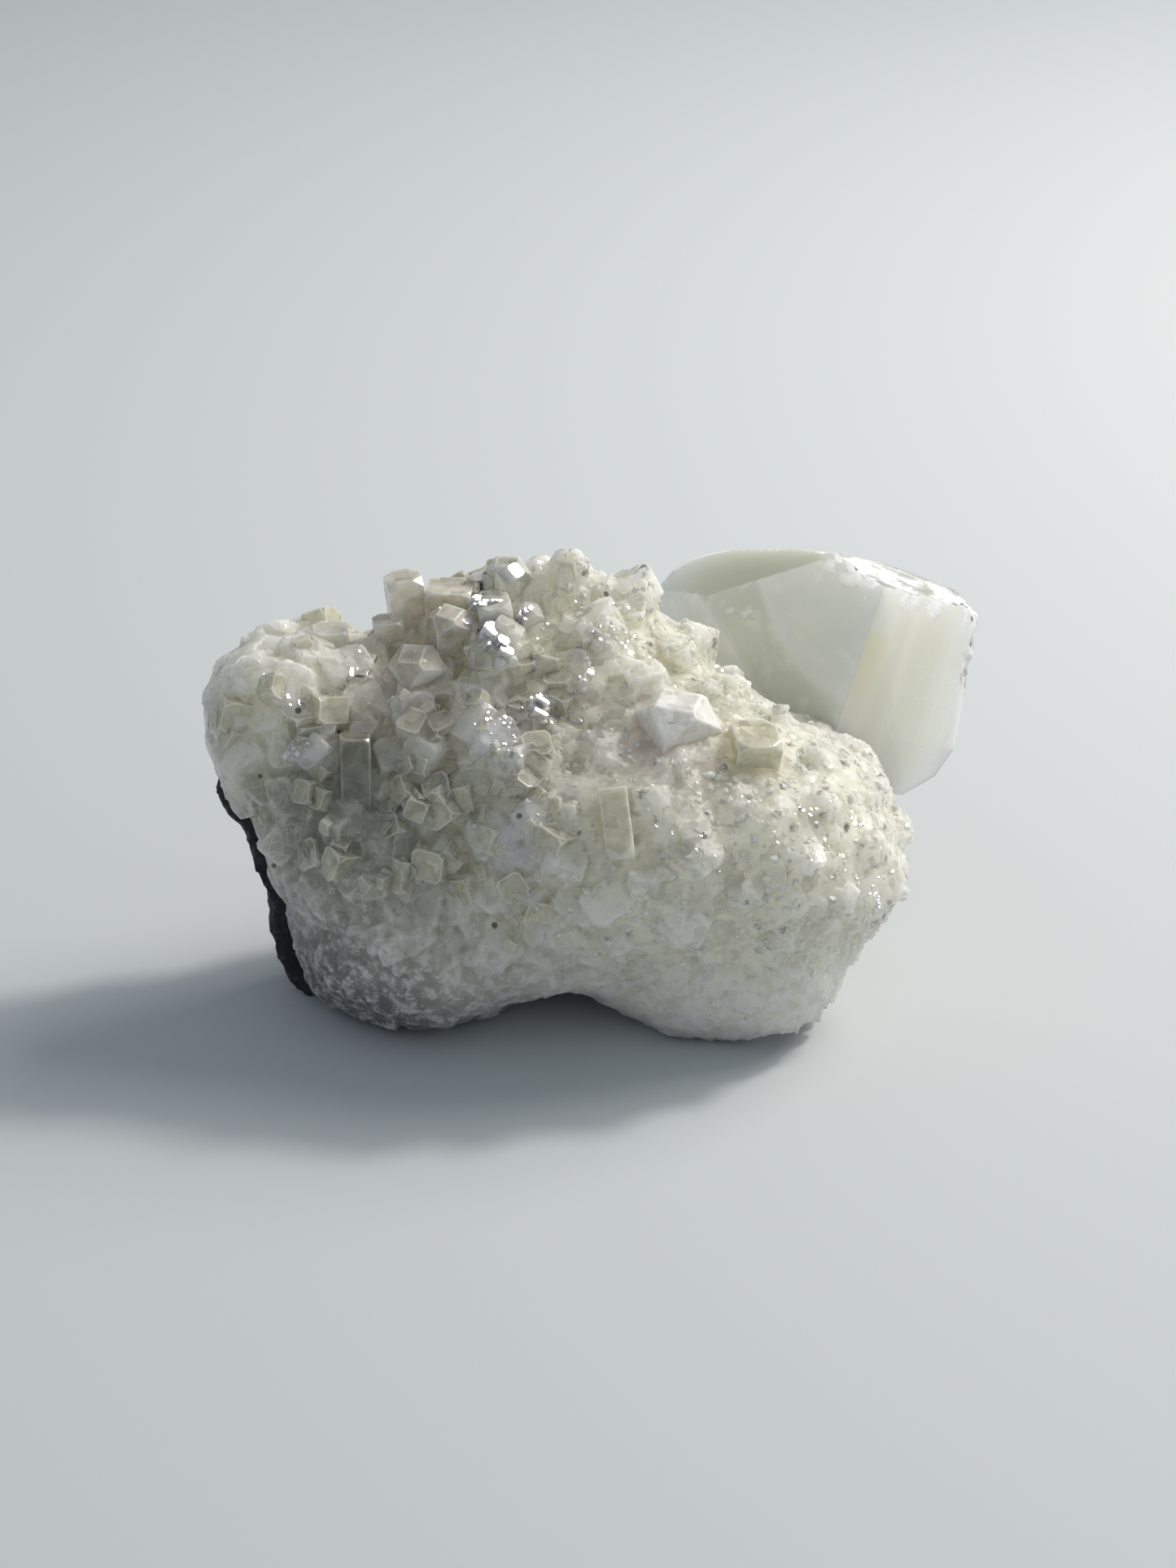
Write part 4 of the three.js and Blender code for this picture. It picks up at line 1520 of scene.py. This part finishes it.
@dataclass
class LargeCrystal:
    """The large clear crystal on the right shoulder.

    Its faces are told in millimetres from its front top corner: to the right, to the left, and up along its axis.
    """

    longest_edge: float = 0.5 * MM
    crisp_over: float = 14
    swell: float = 1.6 * MM
    grit: float = 0.5 * MM
    frost_depth: float = 0.3 * MM
    striae_depth: float = 0.04 * MM
    striae_spacing: float = 0.35
    band_depth: float = 0.06 * MM
    band_width: float = 1.4
    pyramid_facing: Vector = Vector((-0.87, 0.229, 0.437))
    narrow_from: tuple[float, float] = (13.2, -4.1)
    narrow_way: tuple[float, float] = (0.584, -0.812)
    veil_edge: tuple[tuple[float, float], ...] = (
        (0.75, -7.96),
        (2.47, -7.73),
        (4.42, -6.83),
        (5.67, -6.08),
        (6.62, -5.25),
        (7.93, -3.95),
        (9.3, -2.2),
        (14.0, 2.0),
    )

    def build(self, finish: LargeCrystalFinish) -> bpy.types.Object:
        """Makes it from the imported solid: its frosted rim, its ruled and banded faces.

        Args:
            finish: How it looks.

        Returns:
            The finished piece.
        """
        thing = copy_of_node("large_crystal", "large_crystal_grown")
        split_finely(thing, self.longest_edge)
        self.carve(thing)
        shade(thing, self.crisp_over)
        return finish_piece(thing, Slot.LARGE, finish.make(), ["large_crystal"])

    def carve(self, thing: bpy.types.Object) -> None:
        """Breaks the rim, rules the pyramid face, steps the right face, and notes where each is.

        Args:
            thing: The crystal.
        """
        places, normals = points_of(thing), self.flat_normals(thing)
        away = places - np.array(LARGE_CORNER)
        right, left, up = (away @ np.array(way) / MM for way in (LARGE_RIGHT, LARGE_LEFT, LARGE_AXIS))
        facing = normals @ np.array((LARGE_RIGHT, LARGE_LEFT, LARGE_AXIS)).T
        swell, grit = uneven(places, self.swell, 4), uneven(places, self.grit, 3)
        ragged = between(swell + grit * 0.6, -0.45, 0.1)
        top = between(facing[:, 2], 0.6, 0.8) * (left < 6)
        rim = between(up + 0.9 * swell, -0.9, -0.2) * (1 - between(left, 4.2, 5.6))
        edge = between(right + 0.5 * swell, 12.1, 12.6) * between(up, -6.5, -3) * (left < 4)
        frost = np.clip(np.maximum.reduce([top, rim, edge]) * ragged, 0, 1)
        aside = np.hypot((left - 10.6) / 1.7, (up + 4.0) / 0.6)
        frost = np.maximum(frost, between(grit, 0.1, 0.3) * (1 - between(aside, 0.5, 1.2)) * (right < 0.8))
        cream = between(-facing[:, 1], 0.75, 0.9)
        striae = between(facing @ np.array(self.pyramid_facing), 0.94, 0.98)
        across = left * 0.41 + up * 0.91
        lines = np.array([noise.noise(Vector((a / self.striae_spacing, 0.3, 7.7))) for a in across])
        bands = np.array([noise.noise(Vector((r / self.band_width, 5.1, 2.2))) for r in right])
        inward = frost * self.frost_depth * (0.35 + 0.65 * np.clip(swell + grit, -1, 1))
        inward += striae * self.striae_depth * (1 + lines) + cream * self.band_depth * between(bands, -0.05, 0.05)
        move_points(thing, places - normals * np.maximum(inward, 0)[:, None])
        facing_front = between(-facing[:, 0], 0.5, 0.7)
        beyond = (left - self.narrow_from[0]) * self.narrow_way[0] + (up - self.narrow_from[1]) * self.narrow_way[1]
        narrow = between(beyond, -0.1, 0.3) * (0.45 + 0.35 * (1 - between(beyond, 0.2, 1.2)))
        over = up - np.interp(left, *zip(*self.veil_edge))
        veil = between(over, -0.5, 0.5) * (0.7 + 0.3 * (1 - between(over, 0.3, 2.5)))
        veiled = facing_front * np.maximum(narrow, veil * (1 - between(beyond, -1.5, -0.3)))
        for name, values in (("frost", frost), ("cream", cream), ("striae", striae), ("veiled", veiled)):
            note_points(thing, name, values)

    def flat_normals(self, thing: bpy.types.Object) -> np.ndarray:
        """Finds the normal of the largest of the flat faces that meet at each vertex.

        Args:
            thing: The crystal.

        Returns:
            One row for each vertex.
        """
        normals = np.zeros((len(thing.data.vertices), 3))
        largest = np.zeros(len(thing.data.vertices))
        for polygon in thing.data.polygons:
            for i in polygon.vertices:
                if polygon.area > largest[i]:
                    largest[i] = polygon.area
                    normals[i] = polygon.normal
        return normals


@dataclass
class Basalt:
    """The scrap of dark host rock behind and below the crust."""

    voxel: float = 0.4 * MM
    smoothing: float = 0.5
    crisp_over: float = 32
    lump: float = 2.2 * MM
    lump_height: float = 0.4 * MM
    proud: float = 0.45 * MM

    def build(self, finish: BasaltFinish) -> bpy.types.Object:
        """Makes the broken rock.

        Args:
            finish: How it looks.

        Returns:
            The finished piece.
        """
        rock = copy_of_node("basalt_matrix", "basalt_matrix_broken")
        remesh(rock, self.voxel, self.smoothing, 1)
        places, normals = points_of(rock), normals_of(rock)
        lowest = places[:, 2].min()
        rough = uneven(places, self.lump, 5)
        at_left = 1 - between(places[:, 0], -17 * MM, -13 * MM)
        places += normals * (rough * self.lump_height + at_left * self.proud)[:, None]
        places[:, 2] = np.maximum(places[:, 2], lowest)
        move_points(rock, places)
        shade(rock, self.crisp_over)
        return finish_piece(rock, Slot.BASALT, finish.make(), ["basalt_matrix"])


# The studio


@dataclass(frozen=True)
class Lamp:
    """One disk of the key light: its name, its width and its power in watts."""

    name: str
    size: float
    power: float


@dataclass
class Studio:
    """A pale floor, soft light and a camera at the photograph's viewing angle."""

    floor: str = "#c9ced1"
    floor_size: float = 6
    sky: str = "#e4edf7"
    sky_strength: float = 0.4
    key_colour: str = "#fffaf1"
    lamps: tuple[Lamp, ...] = (Lamp("key", 0.06, 0.95), Lamp("key_soft", 0.3, 1.25))

    def build(self) -> None:
        """Sets up the floor, the lights and the camera."""
        self.add_floor()
        self.add_sky()
        for lamp in self.lamps:
            self.add_lamp(lamp)
        self.add_camera()
        bpy.context.scene.view_settings.view_transform = "Standard"

    def add_floor(self) -> None:
        """Lays the floor."""
        bpy.ops.object.select_all(action="DESELECT")
        bpy.ops.mesh.primitive_plane_add(size=self.floor_size, location=(0, 0, 0))
        floor = bpy.context.object
        floor.name = "floor"
        material, add = new_material("paper, matt")
        add("OutputMaterial", (add("BsdfPrincipled", {"Base Color": self.floor, "Roughness": 0.9}),))
        floor.data.materials.append(material)

    def add_sky(self) -> None:
        """Lights the scene softly from all around."""
        world = bpy.data.worlds.new("soft sky")
        world.use_nodes = True
        world.node_tree.nodes.clear()
        add = partial(add_node, world.node_tree)
        add("OutputWorld", (add("Background", (self.sky, self.sky_strength)),))
        bpy.context.scene.world = world

    def add_lamp(self, lamp: Lamp) -> None:
        """Hangs one disk of the key light.

        Args:
            lamp: The disk.
        """
        light = bpy.data.lights.new(lamp.name, "AREA")
        light.shape = "DISK"
        light.size = lamp.size
        light.energy = lamp.power
        light.color = linear(self.key_colour)[:3]
        key = bpy.data.objects.new(lamp.name, light)
        key.location = VIEW.target + KEY_FROM * KEY_DISTANCE
        key.rotation_euler = KEY_FROM.to_track_quat("Z", "Y").to_euler()
        bpy.context.scene.collection.objects.link(key)

    def add_camera(self) -> None:
        """Puts the camera where the photograph was taken from."""
        camera = bpy.data.cameras.new("camera")
        camera.lens = VIEW.lens
        camera.sensor_width = VIEW.sensor
        camera.clip_start = 10 * MM
        camera.clip_end = 10.0
        eye = bpy.data.objects.new("camera", camera)
        eye.location = VIEW.eye
        eye.rotation_euler = VIEW.back.to_track_quat("Z", "Y").to_euler()
        bpy.context.scene.collection.objects.link(eye)
        bpy.context.scene.camera = eye


def clear_blocks_share(at: Vector, normal: Vector) -> float:
    """Where the clear small blocks stand: over the lobe, the crest and the left front.

    Args:
        at: A place on the crust in millimetres.
        normal: The crust's normal there.

    Returns:
        The chance of one, from 0 to 1.
    """
    left = (1 - between(at.x, -9, 1)) * (0.08 + 0.92 * between(at.x, -20.5, -17))
    high = between(at.z, 8, 13)
    return float(left * high * between(normal.z, -0.6, -0.1))


def sugar_share(at: Vector, normal: Vector) -> float:
    """Where the sugary grains lie: over the right of the crust, down to its powdery part.

    Args:
        at: A place on the crust in millimetres.
        normal: The crust's normal there.

    Returns:
        The chance of one, from 0 to 1.
    """
    return float(between(at.x, -9, 1)) * float(between(at.z, 4.5, 8) * between(normal.z, -0.9, -0.5))


def main() -> None:
    """Builds the specimen piece by piece."""
    logging.basicConfig(level=logging.INFO, format="%(name)s %(message)s")
    Studio().build()
    skin = Crust().build(CrustFinish())
    rock = tree_of(Basalt().build(BasaltFinish()))
    glassy = {
        "clear": GlassyCrystal("apophyllite, clear", "#f6f6ee", 8 * MM, "#f6f5ea", 0.6),
        "smoky": GlassyCrystal("apophyllite, smoky", "#f6efe4", 8 * MM, "#fcf3e4", 0.5),
        "dark": GlassyCrystal("apophyllite, dark clear", "#d8d6cb", 3 * MM, "#a9a89b", 0.6, rim_highlight=0.2),
        "milky": GlassyCrystal(
            "apophyllite, milky", "#fbf8f0", 8 * MM, "#fffaf0", 0.2, 0.1, line_depth=0.04 * MM, flaw_lean=0.12
        ),
        "yellow": GlassyCrystal("apophyllite, yellow", "#f5f3e4", 6 * MM, "#e6e3d2", 0.5, 0.14, rim_highlight=0.3),
        "small": GlassyCrystal("apophyllite, small clear", "#f5f3e6", 6 * MM, "#f2eedb", 0.62, glow=0.4 * MM),
        "sugar": GlassyCrystal("apophyllite, sugary", "#fbf9ee", 8 * MM, "#fdfaec", 0.3, 0.2, glow=0.6 * MM),
        "facet": GlassyCrystal(
            "apophyllite, bright facet", "#fafaf6", 8 * MM, "#ffffff", 0.16, 0.08, line_depth=0.0, flaw_lean=0.0
        ),
    }
    finishes = {name: finish.make() for name, finish in glassy.items()}
    named = (
        ("crest_crystals", Slot.SMOKY, "smoky"),
        ("summit_crystals", Slot.CLEAR, "clear"),
        ("lobe_crystals", Slot.CLEAR, "clear"),
        ("notch_crystal", Slot.SMOKY, "smoky"),
        ("left_crystal", Slot.CLEAR, "dark"),
        ("middle_crystal", Slot.CLEAR, "milky"),
        ("shoulder_crystal", Slot.YELLOW, "yellow"),
        ("hanging_crystal", Slot.YELLOW, "yellow"),
    )
    grown = [tree_of(GrownCrystals(node, slot).build(finishes[finish])) for node, slot, finish in named]
    neighbours = [*grown, tree_of(LargeCrystal().build(LargeCrystalFinish()))]
    carriers = [*grown, tree_of(skin)]
    blocks = SmallCrystals(
        "small_clear_blocks",
        Habit.RIMMED_BLOCK,
        Slot.CLEAR,
        count=240,
        sizes=(0.7 * MM, 2.2 * MM),
        sink=0.86,
        share_at=clear_blocks_share,
        seed=11,
    )
    blocks.build(skin, neighbours, rock, finishes["small"])
    grains = SmallCrystals(
        "sugary_grains",
        Habit.GRAIN,
        Slot.CRUST,
        count=1500,
        sizes=(0.3 * MM, 0.7 * MM),
        sink=0.88,
        share_at=sugar_share,
        seed=12,
    )
    grains.build(skin, neighbours, rock, finishes["sugar"])
    BrightFacets().build(carriers, finishes["facet"])


if __name__ == "__main__":
    main()
